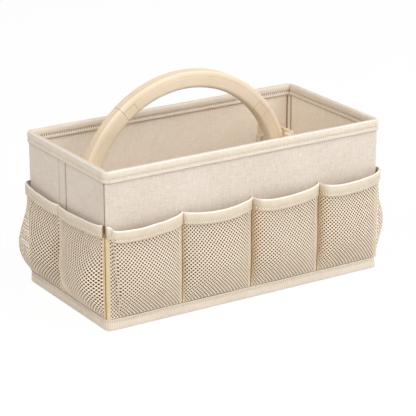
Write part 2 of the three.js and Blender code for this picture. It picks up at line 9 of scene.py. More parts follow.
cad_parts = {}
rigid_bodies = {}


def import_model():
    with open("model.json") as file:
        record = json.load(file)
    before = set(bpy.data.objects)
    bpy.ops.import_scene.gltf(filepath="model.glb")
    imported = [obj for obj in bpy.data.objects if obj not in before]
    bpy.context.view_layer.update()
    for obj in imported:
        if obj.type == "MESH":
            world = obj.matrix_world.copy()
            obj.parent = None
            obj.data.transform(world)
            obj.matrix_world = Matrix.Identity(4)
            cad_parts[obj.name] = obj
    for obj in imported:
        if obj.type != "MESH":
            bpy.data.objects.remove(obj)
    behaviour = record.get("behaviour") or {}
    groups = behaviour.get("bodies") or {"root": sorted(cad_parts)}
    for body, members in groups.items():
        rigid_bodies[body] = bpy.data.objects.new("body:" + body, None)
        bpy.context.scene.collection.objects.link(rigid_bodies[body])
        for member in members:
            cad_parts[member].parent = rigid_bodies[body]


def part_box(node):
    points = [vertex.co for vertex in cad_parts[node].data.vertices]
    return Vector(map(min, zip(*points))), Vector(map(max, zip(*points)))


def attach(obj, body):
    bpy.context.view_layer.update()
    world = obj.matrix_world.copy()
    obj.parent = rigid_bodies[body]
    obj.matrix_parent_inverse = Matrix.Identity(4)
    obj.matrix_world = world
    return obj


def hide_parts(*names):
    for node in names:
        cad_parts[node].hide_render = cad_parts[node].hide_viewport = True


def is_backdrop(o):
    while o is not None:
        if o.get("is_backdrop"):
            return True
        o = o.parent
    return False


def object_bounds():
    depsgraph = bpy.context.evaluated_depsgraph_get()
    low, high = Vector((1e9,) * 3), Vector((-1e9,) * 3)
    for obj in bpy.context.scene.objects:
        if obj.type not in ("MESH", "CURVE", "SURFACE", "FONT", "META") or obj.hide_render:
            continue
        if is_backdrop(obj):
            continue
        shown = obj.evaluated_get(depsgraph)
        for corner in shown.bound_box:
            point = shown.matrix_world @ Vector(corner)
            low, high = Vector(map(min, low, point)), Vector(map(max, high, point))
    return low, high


# Fabric storage caddy: linen-covered boards with net pockets and a cream plug-in handle.
# Every length is in millimetres until a mesh is made, and the frame gives the caddy's own sizes.

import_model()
cad_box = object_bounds()

MM = 0.001


def box_of(node):
    low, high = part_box(node)
    return low / MM, high / MM


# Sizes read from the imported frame
rim_low, rim_high = box_of("rim_hem")
front_low, front_high = box_of("front_panel")
strip_low, strip_high = box_of("left_fold_strip")
HALF_LENGTH, HALF_WIDTH, HEIGHT = rim_high
HEM_FOOT = rim_low.z
BINDING_TOP = box_of("bottom_binding")[1].z
WALL_INSET = HALF_WIDTH + front_low.y
BOARD = front_high.y - front_low.y
WALL_FOOT = front_low.z

# Sizes that the boxes don't hold, as the caddy is built
CORNER_RADIUS = 6.5
SEAT_GAP = 0.3
NET_THICKNESS = 0.8
POCKET_DROP = 50.7
BAND_HEIGHT = 10.5
BAND_THICKNESS = 0.9
SIDE_SEAM_SHIFT = 3.5
END_SEAM_SETBACK = 11

POCKET_TOP = HEIGHT - POCKET_DROP
POCKET_FOOT = BINDING_TOP + SEAT_GAP
POCKET_HEIGHT = POCKET_TOP - POCKET_FOOT
BAND_FOOT_SHARE = 1 - BAND_HEIGHT / POCKET_HEIGHT
PERIMETER = 4 * (HALF_LENGTH + HALF_WIDTH - 2 * CORNER_RADIUS) + CORNER_RADIUS * math.tau

# Cloth and sewing
HEM_STITCH_DROP = 7
BINDING_STITCH_DROP = 2.4
BAND_STITCH_RISE = 2.7
STITCH_PITCH = 2.4
STITCH_LENGTH = 1.7
STITCH_WIDTH = 0.8
STITCH_HEIGHT = 0.6
STITCH_PROUD = 0.12
NEEDLE_HOLE = 0.4
CLOTH_STEP = 3.5
WAVE = 0.22

# The pockets of a long side and of an end: how many, how far they bulge low down and at the
# mouth, and how far their mouths sag
LONG_SIDE = (4, (15, 7.5), 3.5)
SHORT_END = (2, (18, 3.6), 0.8)
# Sides: quarter turns from the front, how far each runs either way, how far out it stands, how
# far along it the seams between its pockets are moved, and its pockets
SIDES = {
    "front": (0, HALF_LENGTH, HALF_WIDTH, SIDE_SEAM_SHIFT, *LONG_SIDE),
    "right": (1, HALF_WIDTH, HALF_LENGTH, END_SEAM_SETBACK, *SHORT_END),
    "back": (2, HALF_LENGTH, HALF_WIDTH, SIDE_SEAM_SHIFT, *LONG_SIDE),
    "left": (3, HALF_WIDTH, HALF_LENGTH, -END_SEAM_SETBACK, *SHORT_END),
}
# Pockets that start round the corner, on the end wall, with a tuck in their net beside the corner,
# and the pockets that end there to make room
TUCKED = ("front_1", "back_1")
SHORTENED = ("right_2", "left_2")
CORNERS = ("back_right", "back_left", "front_left", "front_right")


def on_side(turns, along, out, up):
    """A point of a side: along runs to its right as it is looked at, out from the middle."""
    x, y = along, -out
    for _ in range(turns):
        x, y = -y, x
    return Vector((x, y, up))


def clamped(t):
    return min(max(t, 0.0), 1.0)


def smooth(t):
    """A smooth step from 0 to 1."""
    t = clamped(t)
    return t * t * (3 - 2 * t)


def hump(t):
    """A soft hump: 1 in its middle, and nearly nothing past 2 either way."""
    return math.exp(-(t**2))


def ripple(*place):
    """Smooth noise from -1 to 1."""
    return noise.noise(Vector(place))


def circle(count):
    """Angles that are an equal turn apart."""
    return [math.tau * k / count for k in range(count)]


# Materials

# Shares that a mesh holds at its points, which its material reads by name. They say where shade,
# shadow and highlights are painted, and where the lining is painted paler to stand in for light.
NET_SHADOW_MARK = "painted_net_shadow"
LINING_LIGHT_MARK = "inside"
SEAM_SHADE_MARK = "painted_seam_shade"
EDGE_HIGHLIGHT_MARK = "painted_edge_highlight"
NET_SHADE_MARK = "painted_net_shade"

# The warm brown of the shade painted in seams, creases and needle holes
PAINTED_SEAM_SHADE = "#85582a"
# The white of the highlight painted along rims
PAINTED_HIGHLIGHT_WHITE = "#fffcf6"
# The lining is painted paler than the outer cloth, to stand in for light inside the caddy
LIT_LINING_PALE = "#fff9ee"
LIT_LINING_DEEP = "#eedcc6"
# The warm colour of the shadow painted on the cloth behind the nets
PAINTED_SHADOW_BEHIND_NETS = "#976a1a"
# The warm colour of the shade painted beside the net's holes and on the pockets' left flanks
WARM_SHADE_BESIDE_HOLES = "#dbac62"


def linear(code):
    """An sRGB hex colour as linear RGBA."""
    parts = [int(code[i : i + 2], 16) / 255 for i in (1, 3, 5)]
    return (*(c / 12.92 if c <= 0.04045 else ((c + 0.055) / 1.055) ** 2.4 for c in parts), 1)


def feed(tree, node, inputs):
    """Gives each input its value, or links it to a socket or to the first output of a node."""
    for key, value in dict(inputs).items():
        if isinstance(value, bpy.types.Node):
            value = value.outputs[0]
        if isinstance(value, bpy.types.NodeSocket):
            tree.links.new(value, node.inputs[key])
        else:
            node.inputs[key].default_value = value


def add(tree, kind, inputs=(), **settings):
    """Adds a node with its settings, its values and its links."""
    node = tree.nodes.new(kind)
    for name, value in settings.items():
        setattr(node, name, value)
    feed(tree, node, inputs)
    return node


def new_material(name):
    """A material with its tree, its Principled shader and the place on the object in metres."""
    material = bpy.data.materials.new(name)
    material.use_nodes = True
    tree = material.node_tree
    place = add(tree, "ShaderNodeTexCoord").outputs["Object"]
    return material, tree, tree.nodes["Principled BSDF"], place


def grain(tree, place, size, detail=2.0, contrast=0.25):
    """Noise whose features are size millimetres along X, Y and Z, spread over 0 to 1."""
    per_metre = tuple(1 / (s * MM) for s in size)
    scaled = add(tree, "ShaderNodeVectorMath", {0: place, 1: per_metre}, operation="MULTIPLY")
    texture = add(tree, "ShaderNodeTexNoise", {"Vector": scaled, "Scale": 1.0, "Detail": detail})
    span = {"From Min": 0.5 - contrast, "From Max": 0.5 + contrast}
    return add(tree, "ShaderNodeMapRange", {"Value": texture, **span})


def weave(tree, place, pitch):
    """The height of a plain weave whose threads cross at the pitch, on upright and level faces."""
    turns_per_metre = (math.tau / (pitch * MM),) * 3
    turns = add(tree, "ShaderNodeVectorMath", {0: place, 1: turns_per_metre}, operation="MULTIPLY")
    waves = add(tree, "ShaderNodeVectorMath", {0: turns}, operation="SINE")
    x, y, z = add(tree, "ShaderNodeSeparateXYZ", {0: waves}).outputs
    level = add(tree, "ShaderNodeMath", {0: x, 1: y}, operation="ADD")
    return add(tree, "ShaderNodeMath", {0: level, 1: z}, operation="MULTIPLY")


def tinted(tree, colour, mark_name, tint):
    """The colour, turned to a tint as far as the mesh is marked."""
    share = add(tree, "ShaderNodeAttribute", attribute_name=mark_name).outputs["Fac"]
    both = {0: share, 6: colour, 7: tint}
    return add(tree, "ShaderNodeMix", both, data_type="RGBA").outputs[2]


def seam_shaded(tree, colour):
    """The colour with a highlight painted along the rims of tapes, and with painted shade in warm
    brown in needle holes, creases and seams."""
    pressed = tinted(tree, colour, EDGE_HIGHLIGHT_MARK, linear(PAINTED_HIGHLIGHT_WHITE))
    return tinted(tree, pressed, SEAM_SHADE_MARK, linear(PAINTED_SEAM_SHADE))


def linen_look(name, pale, deep, pitch, slub, net_shadow=None):
    """Polyester woven to look like linen: dull, with slubs that run both ways and a fine weave.
    Where a shadow colour for it is given, shadow is painted in that warm colour on the cloth behind
    the nets, and the lining is painted a little paler, to stand in for light inside the caddy."""
    material, tree, shader, place = new_material(name)
    slub_length = slub * 9
    upright = grain(tree, place, (slub, slub, slub_length))
    level = grain(tree, place, (slub_length, slub_length, slub))
    speckle = grain(tree, place, (slub * 1.2,) * 3, 4.0, 0.22)
    cloud = grain(tree, place, (45, 45, 45), 1.0)
    threads = add(tree, "ShaderNodeMath", {0: upright, 1: level}, operation="ADD")
    mixed = add(tree, "ShaderNodeMath", {0: threads, 1: speckle}, operation="ADD")
    whole = add(tree, "ShaderNodeMath", {0: cloud, 1: 0.6, 2: mixed}, operation="MULTIPLY_ADD")
    share = add(tree, "ShaderNodeMapRange", {"Value": whole, "From Min": 0.5, "From Max": 3.1})
    shades = {0: share, 6: linear(deep), 7: linear(pale)}
    colour = add(tree, "ShaderNodeMix", shades, data_type="RGBA").outputs[2]
    if net_shadow:
        colour = tinted(tree, colour, NET_SHADOW_MARK, linear(net_shadow))
        shades = {0: share, 6: linear(LIT_LINING_DEEP), 7: linear(LIT_LINING_PALE)}
        lining = add(tree, "ShaderNodeMix", shades, data_type="RGBA").outputs[2]
        colour = tinted(tree, colour, LINING_LIGHT_MARK, lining)
    woven = {0: weave(tree, place, pitch), 1: 0.35, 2: mixed}
    height = add(tree, "ShaderNodeMath", woven, operation="MULTIPLY_ADD")
    relief = {"Strength": 0.35, "Distance": 0.12 * MM, "Height": height}
    finish = {
        "Base Color": seam_shaded(tree, colour),
        "Normal": add(tree, "ShaderNodeBump", relief),
        "Roughness": 0.92,
        "Specular IOR Level": 0.2,
        "Sheen Weight": 0.15,
        "Sheen Roughness": 0.5,
    }
    feed(tree, shader, finish)
    return material


def folded_tape(name, pale, deep):
    """Polyester tape, folded and pressed: smoother than the linen, with fine ribs along it."""
    material, tree, shader, place = new_material(name)
    ribs = grain(tree, place, (24, 24, 0.8))
    cloud = grain(tree, place, (9, 9, 7))
    both = add(tree, "ShaderNodeMath", {0: ribs, 1: cloud}, operation="ADD")
    share = add(tree, "ShaderNodeMapRange", {"Value": both, "From Max": 2.0})
    shades = {0: share, 6: linear(deep), 7: linear(pale)}
    colour = add(tree, "ShaderNodeMix", shades, data_type="RGBA").outputs[2]
    relief = {"Strength": 0.3, "Distance": 0.12 * MM, "Height": ribs}
    finish = {
        "Base Color": seam_shaded(tree, colour),
        "Normal": add(tree, "ShaderNodeBump", relief),
        "Roughness": 0.75,
        "Specular IOR Level": 0.3,
        "Sheen Weight": 0.1,
    }
    feed(tree, shader, finish)
    return material


def polyester_yarn(name, pale, deep, edge=None):
    """Polyester yarn, knitted or sewn: a smooth bundle of filaments with a low gloss. Where an edge
    colour is given, it is painted beside a net's holes, along its ends and on the pockets' left
    flanks: painted shade, warmed as light coming back off the cloth would warm it."""
    material, tree, shader, place = new_material(name)
    share = grain(tree, place, (3, 3, 3), 3.0)
    shades = {0: share, 6: linear(deep), 7: linear(pale)}
    colour = add(tree, "ShaderNodeMix", shades, data_type="RGBA").outputs[2]
    if edge:
        colour = tinted(tree, colour, NET_SHADE_MARK, linear(edge))
    fibres = grain(tree, place, (0.25, 0.25, 0.25), 1.0)
    relief = {"Strength": 0.3, "Distance": 0.05 * MM, "Height": fibres}
    finish = {
        "Base Color": colour,
        "Normal": add(tree, "ShaderNodeBump", relief),
        "Roughness": 0.6,
        "Specular IOR Level": 0.35,
    }
    feed(tree, shader, finish)
    return material


def moulded_plastic(name, pale, deep, roughness):
    """Cream ABS moulded to look like pale wood: satin, with faint streaks that follow the arch."""
    material, tree, shader, place = new_material(name)
    streaks = grain(tree, place, (38, 0.9, 38), 3.0)
    cloud = grain(tree, place, (30, 30, 30), 1.0)
    both = add(tree, "ShaderNodeMath", {0: streaks, 1: cloud}, operation="ADD")
    share = add(tree, "ShaderNodeMapRange", {"Value": both, "From Max": 2.0})
    shades = {0: share, 6: linear(deep), 7: linear(pale)}
    relief = {"Strength": 0.12, "Distance": 0.05 * MM, "Height": streaks}
    finish = {
        "Base Color": add(tree, "ShaderNodeMix", shades, data_type="RGBA").outputs[2],
        "Normal": add(tree, "ShaderNodeBump", relief),
        "Roughness": roughness,
    }
    feed(tree, shader, finish)
    return material


def grey_board(name):
    """Recycled grey board: flecked with paper fibres and quite dull."""
    material, tree, shader, place = new_material(name)
    flecks = grain(tree, place, (0.8, 0.8, 0.8), 4.0)
    shades = {0: flecks, 6: linear("#7d776c"), 7: linear("#9a9386")}
    colour = add(tree, "ShaderNodeMix", shades, data_type="RGBA").outputs[2]
    feed(tree, shader, {"Base Color": colour, "Roughness": 0.95})
    return material


def plated_steel(name):
    """Zinc-plated steel: bright, with a slight mottle left by the plating bath."""
    material, tree, shader, place = new_material(name)
    mottle = grain(tree, place, (1.5, 1.5, 1.5))
    shades = {0: mottle, 6: linear("#b3b5b7"), 7: linear("#c6c8ca")}
    colour = add(tree, "ShaderNodeMix", shades, data_type="RGBA").outputs[2]
    rough = add(tree, "ShaderNodeMapRange", {"Value": mottle, "To Min": 0.28, "To Max": 0.4})
    feed(tree, shader, {"Base Color": colour, "Roughness": rough, "Metallic": 1})
    return material


# The slubs are about twice as coarse as the cloth's own, or they wouldn't show in the render.
LINEN = linen_look("linen_look_polyester", "#f4ebe1", "#d9cab8", 0.9, 1.0, PAINTED_SHADOW_BEHIND_NETS)
HEM_CLOTH = linen_look("hem_cloth", "#f5ecdf", "#e0d1bb", 0.9, 0.9)
TAPE = folded_tape("folded_polyester_tape", "#e9dcc7", "#dbccb1")
NET_BINDING = folded_tape("net_edge_binding", "#f0dcb8", "#dfc395")
NET = polyester_yarn("knitted_polyester_net", "#fffef9", "#fff7e4", WARM_SHADE_BESIDE_HOLES)
THREAD = polyester_yarn("polyester_sewing_thread", "#fffaf0", "#f5ecd8")
PLASTIC = moulded_plastic("cream_moulded_abs", "#f6e6cf", "#ecd6b6", 0.38)
BOARD_MATERIAL = grey_board("grey_board")
STEEL = plated_steel("zinc_plated_steel")


# Mesh making


@contextmanager
def reshaping(mesh):
    """A bmesh of the mesh, which is written back to it at the end."""
    work = bmesh.new()
    work.from_mesh(mesh)
    yield work
    work.to_mesh(mesh)
    work.free()


def turn_faces_out(mesh):
    with reshaping(mesh) as work:
        bmesh.ops.recalc_face_normals(work, faces=work.faces)


def mesh_of(name, points, faces):
    """A mesh from points in millimetres."""
    mesh = bpy.data.meshes.new(name)
    mesh.from_pydata([tuple(p * MM) for p in points], [], faces)
    return mesh


def placed(name, data):
    """An object in the scene that shows a mesh, a lamp or a camera."""
    piece = bpy.data.objects.new(name, data)
    bpy.context.scene.collection.objects.link(piece)
    return piece


def finished(name, mesh, material, slot, stands_for=(), body="caddy", sharp=50.0):
    """A piece from a mesh: it gets a finish, rides on a body and stands for nodes."""
    turn_faces_out(mesh)
    mesh.shade_smooth()
    mesh.set_sharp_from_angle(angle=math.radians(sharp))
    piece = placed(name, mesh)
    mesh.materials.append(material)
    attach(piece, body)
    if stands_for:
        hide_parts(*stands_for)
    return piece


def make(name, skin, *details, **more):
    """A piece from the points and faces of a skin, with the details that finished takes."""
    return finished(name, mesh_of(name, *skin), *details, **more)


def mark(piece, name, values):
    """Gives every point of a piece a share, which its material reads by name."""
    layer = piece.data.attributes.new(name, "FLOAT", "POINT")
    layer.data.foreach_set("value", values)


def sweep(sections, looped=False):
    """Joins sections of equal length into one closed skin: a looped row has no ends to cap."""
    count = len(sections[0])
    points = [p for section in sections for p in section]
    spans = len(sections) if looped else len(sections) - 1
    faces = []
    for i in range(spans):
        here, following = i * count, (i + 1) % len(sections) * count
        for j in range(count):
            k = (j + 1) % count
            faces.append((here + j, here + k, following + k, following + j))
    if not looped:
        faces += [tuple(range(count)), tuple(range(spans * count, len(points)))]
    return points, faces


def gathered(skins):
    """Several skins as one."""
    points, faces = [], []
    for skin_points, skin_faces in skins:
        start = len(points)
        points += skin_points
        faces += [tuple(start + i for i in face) for face in skin_faces]
    return points, faces


# A stitch's rings, as shares of its length from its middle and of its girth
STITCH_RINGS = ((-0.5, 0.25), (-0.36, 0.85), (0.0, 1.0), (0.36, 0.85), (0.5, 0.25))


def stitches(name, places, slot="sewn_tape"):
    """A row of stitches. A place is a point on the cloth, the seam's direction and the way out."""
    skins = []
    for centre, run, out in places:
        run = run.normalized()
        out = (out - run * out.dot(run)).normalized()
        wide = run.cross(out)
        rings = [
            [
                centre
                + run * (reach * STITCH_LENGTH)
                + wide * (girth * STITCH_WIDTH / 2 * math.cos(turn))
                + out * (girth * STITCH_HEIGHT / 2 * math.sin(turn))
                for turn in circle(6)
            ]
            for reach, girth in STITCH_RINGS
        ]
        skins.append(sweep(rings))
    return make(name, gathered(skins), THREAD, slot)


# Round the caddy


def corner_centre(quarter):
    """The centre of a rounded corner in plan, by its quarter turn from the back right one."""
    x = HALF_LENGTH - CORNER_RADIUS
    y = HALF_WIDTH - CORNER_RADIUS
    return (x if quarter in (0, 3) else -x), (y if quarter in (0, 1) else -y)


def round_the_box(step):
    """Stations round the caddy: the centre and direction of a section, the distance travelled
    along the outer edge, and how far through a corner the station is."""
    stations = []
    travelled = 0.0
    arc = CORNER_RADIUS * math.pi / 2
    turns = max(2, round(arc / step))
    for quarter in range(4):
        x, y = corner_centre(quarter)
        for i in range(turns):
            share = i / turns
            angle = (quarter + share) * math.pi / 2
            stations.append((x, y, angle, travelled + arc * share, share))
        travelled += arc
        angle = (quarter + 1) * math.pi / 2
        run = 2 * ((HALF_LENGTH if quarter % 2 == 0 else HALF_WIDTH) - CORNER_RADIUS)
        spans = round(run / step)
        for i in range(spans):
            along = run * i / spans
            place = (x - along * math.sin(angle), y + along * math.cos(angle))
            stations.append((*place, angle, travelled + along, None))
        travelled += run
    return stations


def outward(station, out, up):
    x, y, angle = station[:3]
    reach = CORNER_RADIUS + out
    return Vector((x + reach * math.cos(angle), y + reach * math.sin(angle), up))


def round_wave(travelled, length, seed):
    """Noise that meets itself after one turn round the caddy."""
    turn = math.tau * travelled / PERIMETER
    radius = PERIMETER / length / math.tau
    return ripple(radius * math.cos(turn), radius * math.sin(turn), seed)


def edge_tape(name, outline_of, node):
    """A tape that is sewn on all the way round, its stations and how many points an outline has."""
    stations = round_the_box(STITCH_PITCH / 2)
    sections = []
    for i, station in enumerate(stations):
        outline = outline_of(station, NEEDLE_HOLE * (i % 2))
        sections.append([outward(station, out, up) for out, up in outline])
    tape = make(name, sweep(sections, looped=True), HEM_CLOTH, "sewn_tape", [node])
    return tape, stations, len(sections[0])


def edge_stitches(name, stations, outline_of, at, side=1):
    """The stitches in such a tape, over one point of its outline: side is -1 on its inner leaf."""
    places = []
    for station in stations:
        angle = station[2]
        run = Vector((-math.sin(angle), math.cos(angle), 0))
        out = Vector((math.cos(angle), math.sin(angle), 0)) * side
        seat = outward(station, *outline_of(station)[at])
        places.append((seat + out * STITCH_PROUD, run, out))
    return stitches(name, places)


def paint_tape_shade(tape, count, size, troughs, feet, pinches=()):
    """Paints shade into a tape's needle holes, which are at every other station, its turned edges,
    and the creases in its inner leaf where it is pinched at a corner."""
    values = []
    for i in range(count):
        row = [0.0] * size
        for at, value in troughs.items():
            row[at] = value * (1.0 if i % 2 else 0.2)
        for at, value in feet.items():
            row[at] = value
        if pinches:
            for at in INNER_LEAF:
                row[at] = max(row[at], pinches[i])
        values += row
    mark(tape, SEAM_SHADE_MARK, values)


# Rim hem: one tape folded over the walls, padded at the rim and drawn in by its stitches

HEM_SPREAD = 2 * WALL_INSET + BOARD
RIM_ROLL_HEIGHT = 2.0
HEM_PROUD = 0.3
NOTCH_SHARE = 0.14
# How deep the hem is pinched at a corner, outside and inside, and how far its inner leaf is drawn
OUTER_NOTCH, INNER_NOTCH, INNER_DRAW = 0.45, 2.0, 0.7
# Where the stitch troughs, the needle holes and the feet of both leaves are in the hem's outline,
# how much shade is painted there, and where a highlight is painted along its rim
OUTER_STITCH, INNER_STITCH = 6, 24
HEM_TROUGH_SHADE = {6: 0.55, 5: 0.2, 7: 0.2, 24: 1.0, 23: 0.6, 25: 0.6}
HEM_FOOT_SHADE = {0: 0.9, 1: 0.7, 2: 0.2, 30: 0.9, 29: 0.7, 28: 0.2}
HEM_RIM_HIGHLIGHT = {12: 1.0, 13: 0.4}
INNER_LEAF = range(18, 31)


def hem_face(hole):
    """The outer leaf from its foot to the roll, as distances out and heights. At a needle hole the
    trough under the stitches goes deeper."""
    stitch = HEIGHT - HEM_STITCH_DROP
    return [
        (-0.75, HEM_FOOT + 0.1),
        (-0.2, HEM_FOOT - 0.05),
        (0.15, HEM_FOOT + 0.2),
        (0.32, HEM_FOOT + 1.2),
        (0.22, stitch - 1.3),
        (-0.1 - hole * 0.7, stitch - 0.5),
        (-0.32 - hole, stitch),
        (-0.1 - hole * 0.7, stitch + 0.5),
        (0.15, stitch + 1.3),
        (HEM_PROUD, stitch + 2.6),
    ]


def pinch_at(corner):
    """How far the hem is pinched at a station: all the way in the middle of a corner."""
    return 0.0 if corner is None else hump((corner - 0.5) / NOTCH_SHARE)


def hem_outline(station, hole=0.0):
    travelled, corner = station[3:]
    sway = WAVE * round_wave(travelled, 42, 1.5)
    lift = WAVE * 0.8 * round_wave(travelled, 30, 7.5)
    puff = 1 + 0.35 * round_wave(travelled, 12, 3.5)
    pinch = pinch_at(corner)
    face = [(out * puff if out > 0 else out, up) for out, up in hem_face(hole)]
    middle = -HEM_SPREAD / 2
    half = HEM_SPREAD / 2 + HEM_PROUD
    roll_foot = HEIGHT - RIM_ROLL_HEIGHT
    roll = []
    for i in range(1, 12):
        turn = math.pi * i / 12
        rise = RIM_ROLL_HEIGHT * (1 - math.sin(turn))
        roll.append((middle + half * math.cos(turn), HEIGHT - rise))
    inner = [(-HEM_SPREAD - out, up) for out, up in reversed(face)]
    hidden = [
        (-HEM_SPREAD + 0.9, HEM_FOOT + 0.4),
        (-HEM_SPREAD + 0.9, roll_foot),
        (middle, HEIGHT - 1.1),
        (-0.9, roll_foot),
        (-0.9, HEM_FOOT + 0.4),
    ]
    outline = []
    for out, up in face + roll + inner:
        high = max(0.0, (up - HEM_FOOT) / (HEIGHT - HEM_FOOT))
        depth = INNER_NOTCH if out < middle else OUTER_NOTCH
        up = up + (lift - depth * pinch) * high**3
        if out < middle:
            out += INNER_DRAW * pinch * high
        outline.append((out + sway * high, up))
    return outline + hidden


def make_hem():
    hem, stations, size = edge_tape("rim_hem_tape", hem_outline, "rim_hem")
    pinches = [pinch_at(corner) for *_, corner in stations]
    paint_tape_shade(hem, len(stations), size, HEM_TROUGH_SHADE, HEM_FOOT_SHADE, pinches)
    # A highlight is painted along the hem's rim
    mark(hem, EDGE_HIGHLIGHT_MARK, [HEM_RIM_HIGHLIGHT.get(k, 0.0) for k in range(size)] * len(stations))
    sewn = stations[::2]
    straight = [station for station in sewn if station[4] is None]
    outer = edge_stitches("rim_stitches_outer", sewn, hem_outline, OUTER_STITCH)
    inner = edge_stitches("rim_stitches_inner", straight, hem_outline, INNER_STITCH, -1)


# Foot binding: a tape round the bottom edge with its stitches near the top

BINDING_STITCH = 7
# How much shade is painted in the binding's stitch trough and along its top edge
BINDING_TROUGH_SHADE = {7: 0.6, 6: 0.25, 8: 0.25}
BINDING_EDGE_SHADE = {12: 0.9, 11: 0.5}


def binding_outline(station, hole=0.0):
    travelled = station[3]
    sway = WAVE * 0.6 * round_wave(travelled, 35, 11.5)
    lift = WAVE * 0.8 * round_wave(travelled, 26, 13.5)
    puff = 1 + 0.4 * round_wave(travelled, 11, 17.5)
    stitch = BINDING_TOP - BINDING_STITCH_DROP
    face = [
        (-0.9, 0.15),
        (-0.5, 0.0),
        (-0.1, 0.25),
        (0.3, 1.1),
        (0.42, 2.6),
        (0.38, stitch - 2.2),
        (0.1 - hole * 0.6, stitch - 0.6),
        (-0.25 - hole, stitch),
        (0.05 - hole * 0.6, stitch + 0.55),
        (0.3, stitch + 1.4),
        (0.2, BINDING_TOP - 0.15),
        (-0.2, BINDING_TOP + 0.08),
        (-0.9, BINDING_TOP),
    ]
    outline = []
    for out, up in face:
        high = up / BINDING_TOP
        out = out * puff if out > 0 else out
        outline.append((out + sway * high * (out > -0.8), up + lift * high**2))
    return outline


def make_binding():
    tape, stations, size = edge_tape("foot_binding_tape", binding_outline, "bottom_binding")
    paint_tape_shade(tape, len(stations), size, BINDING_TROUGH_SHADE, BINDING_EDGE_SHADE)
    row = edge_stitches("foot_stitches", stations[::2], binding_outline, BINDING_STITCH)


# Walls: boards wrapped in linen. The cloth is flush outside and drawn in at its inner seams.

WALL_TOP = HEIGHT - RIM_ROLL_HEIGHT
WALL_HEIGHT = WALL_TOP - WALL_FOOT
WALL_ROWS = round(WALL_HEIGHT / CLOTH_STEP)
WALL_LEVELS = [WALL_FOOT + WALL_HEIGHT * i / WALL_ROWS for i in range(WALL_ROWS + 1)]
INNER_PINCH = 0.8
PINCH_WIDTH = 1.3
SEAM_LINE = 0.9
INNER_SEAM_SHADE = 0.9
# The two creases beside an end's fold strip: how deep and how wide
FRONT_CREASE = (0.8, 0.7)
BACK_CREASE = (0.3, 0.8)
# How far below the mouths the shadow painted behind the nets starts to fade, and over what height
SHADE_DROP, SHADE_FADE = 15.5, 14


def paint_net_shadow_and_lining_light(piece):
    """Marks where shadow is painted on the outer cloth that the pockets cover, from their foot up
    to just under their mouths, and marks the lining, which is painted paler to stand in for light."""
    covered, lining = [], []
    for vertex in piece.data.vertices:
        x, y, z = vertex.co / MM
        outermost = max(abs(x) - HALF_LENGTH, abs(y) - HALF_WIDTH)
        outer = outermost > -WALL_INSET - BOARD / 2
        shade = 1 - smooth((z - POCKET_TOP + SHADE_DROP) / SHADE_FADE)
        covered.append(shade if outer else 0.0)
        lining.append(0.0 if outer else 1.0)
    mark(piece, NET_SHADOW_MARK, covered)
    # The inner face is marked to be painted paler, standing in for light inside the caddy
    mark(piece, LINING_LIGHT_MARK, lining)


def wall_section(turns, along, reach, seed, ends, creases):
    """A closed section through a wall at one place along it. ends are where its inner face is drawn
    in, and creases hold places, depths and widths where the outer face is."""
    outer, inner = [], []
    drawn = sum(hump((along - e) / PINCH_WIDTH) for e in ends)
    sunk = sum(depth * hump((along - at) / width) for at, depth, width in creases)
    inset = WALL_INSET + BOARD - INNER_PINCH * drawn
    for i, up in enumerate(WALL_LEVELS):
        slack = WAVE * math.sin(math.pi * i / WALL_ROWS) ** 0.4
        wave = ripple(along / 55, up / 48, seed) + 0.3 * ripple(along / 15, up / 17, seed + 5)
        back = ripple(along / 50, up / 42, seed + 9)
        outer.append(on_side(turns, along, reach - WALL_INSET + slack * wave - sunk, up))
        inner.append(on_side(turns, along, reach - inset + slack * back, up))
    return outer + inner[::-1]


def paint_seam_shade(piece, places, ends, creases):
    """Paints shade on a wall's inner face along its ends and on its outer face along its creases.
    """
    rows = len(WALL_LEVELS)
    values = []
    for along in places:
        inner = sum(hump((along - e) / SEAM_LINE) for e in ends)
        outer = sum(depth * hump((along - at) / SEAM_LINE) for at, depth, _ in creases)
        values += [min(outer, 1.0)] * rows + [min(inner, 1.0) * INNER_SEAM_SHADE] * rows
    mark(piece, SEAM_SHADE_MARK, values)


def stretch(start, end, step, close=()):
    """Places from start to end, a step apart, with finer ones about each place in close."""
    spans = max(1, round((end - start) / step))
    found = {round(start + (end - start) * i / spans, 4) for i in range(spans + 1)}
    for at in close:
        for i in range(-6, 7):
            near = at + i * 0.4
            if start < near < end:
                found.add(round(near, 4))
    return sorted(found)


def make_wall(name, node, side, span, seed, ends, creases=(), step=CLOTH_STEP):
    """A wall or a part of one, over a span along its side."""
    turns, _, reach = SIDES[side][:3]
    places = stretch(*span, step, span)
    sections = [wall_section(turns, along, reach, seed, ends, creases) for along in places]
    wall = make(name, sweep(sections), LINEN, "linen", [node])
    paint_net_shadow_and_lining_light(wall)
    paint_seam_shade(wall, places, ends, creases)
    return wall


def make_walls():
    end = HALF_LENGTH - CORNER_RADIUS
    for side, seed in (("front", 2.2), ("back", 8.8)):
        make_wall(f"{side}_wall", f"{side}_panel", side, (-end, end), seed, (-end, end))
    end = HALF_WIDTH - CORNER_RADIUS
    for side, seed, hand in (("right", 14.4, 1), ("left", 21.1, -1)):
        low, high = sorted((hand * strip_low.y, hand * strip_high.y))
        low, high = low - SEAT_GAP, high + SEAT_GAP
        shapes = (FRONT_CREASE, BACK_CREASE)[::hand]
        creases = ((low, *shapes[0]), (high, *shapes[1]))
        halves = ("front", "back")[::hand]
        for half, start, stop in zip(halves, (-end, high), (low, end)):
            name, node = f"{side}_wall_{half}_half", f"{side}_panel_{half}_half"
            corner = (max(start, stop, key=abs),)
            make_wall(name, node, side, (start, stop), seed + start, corner, creases)
        name, node = f"{side}_fold_cloth", f"{side}_fold_strip"
        hinge = make_wall(name, node, side, (low, high), seed + 3, (), creases, 1.5)


# Corner cloths, with a sewn seam just round the corner on the end wall's side

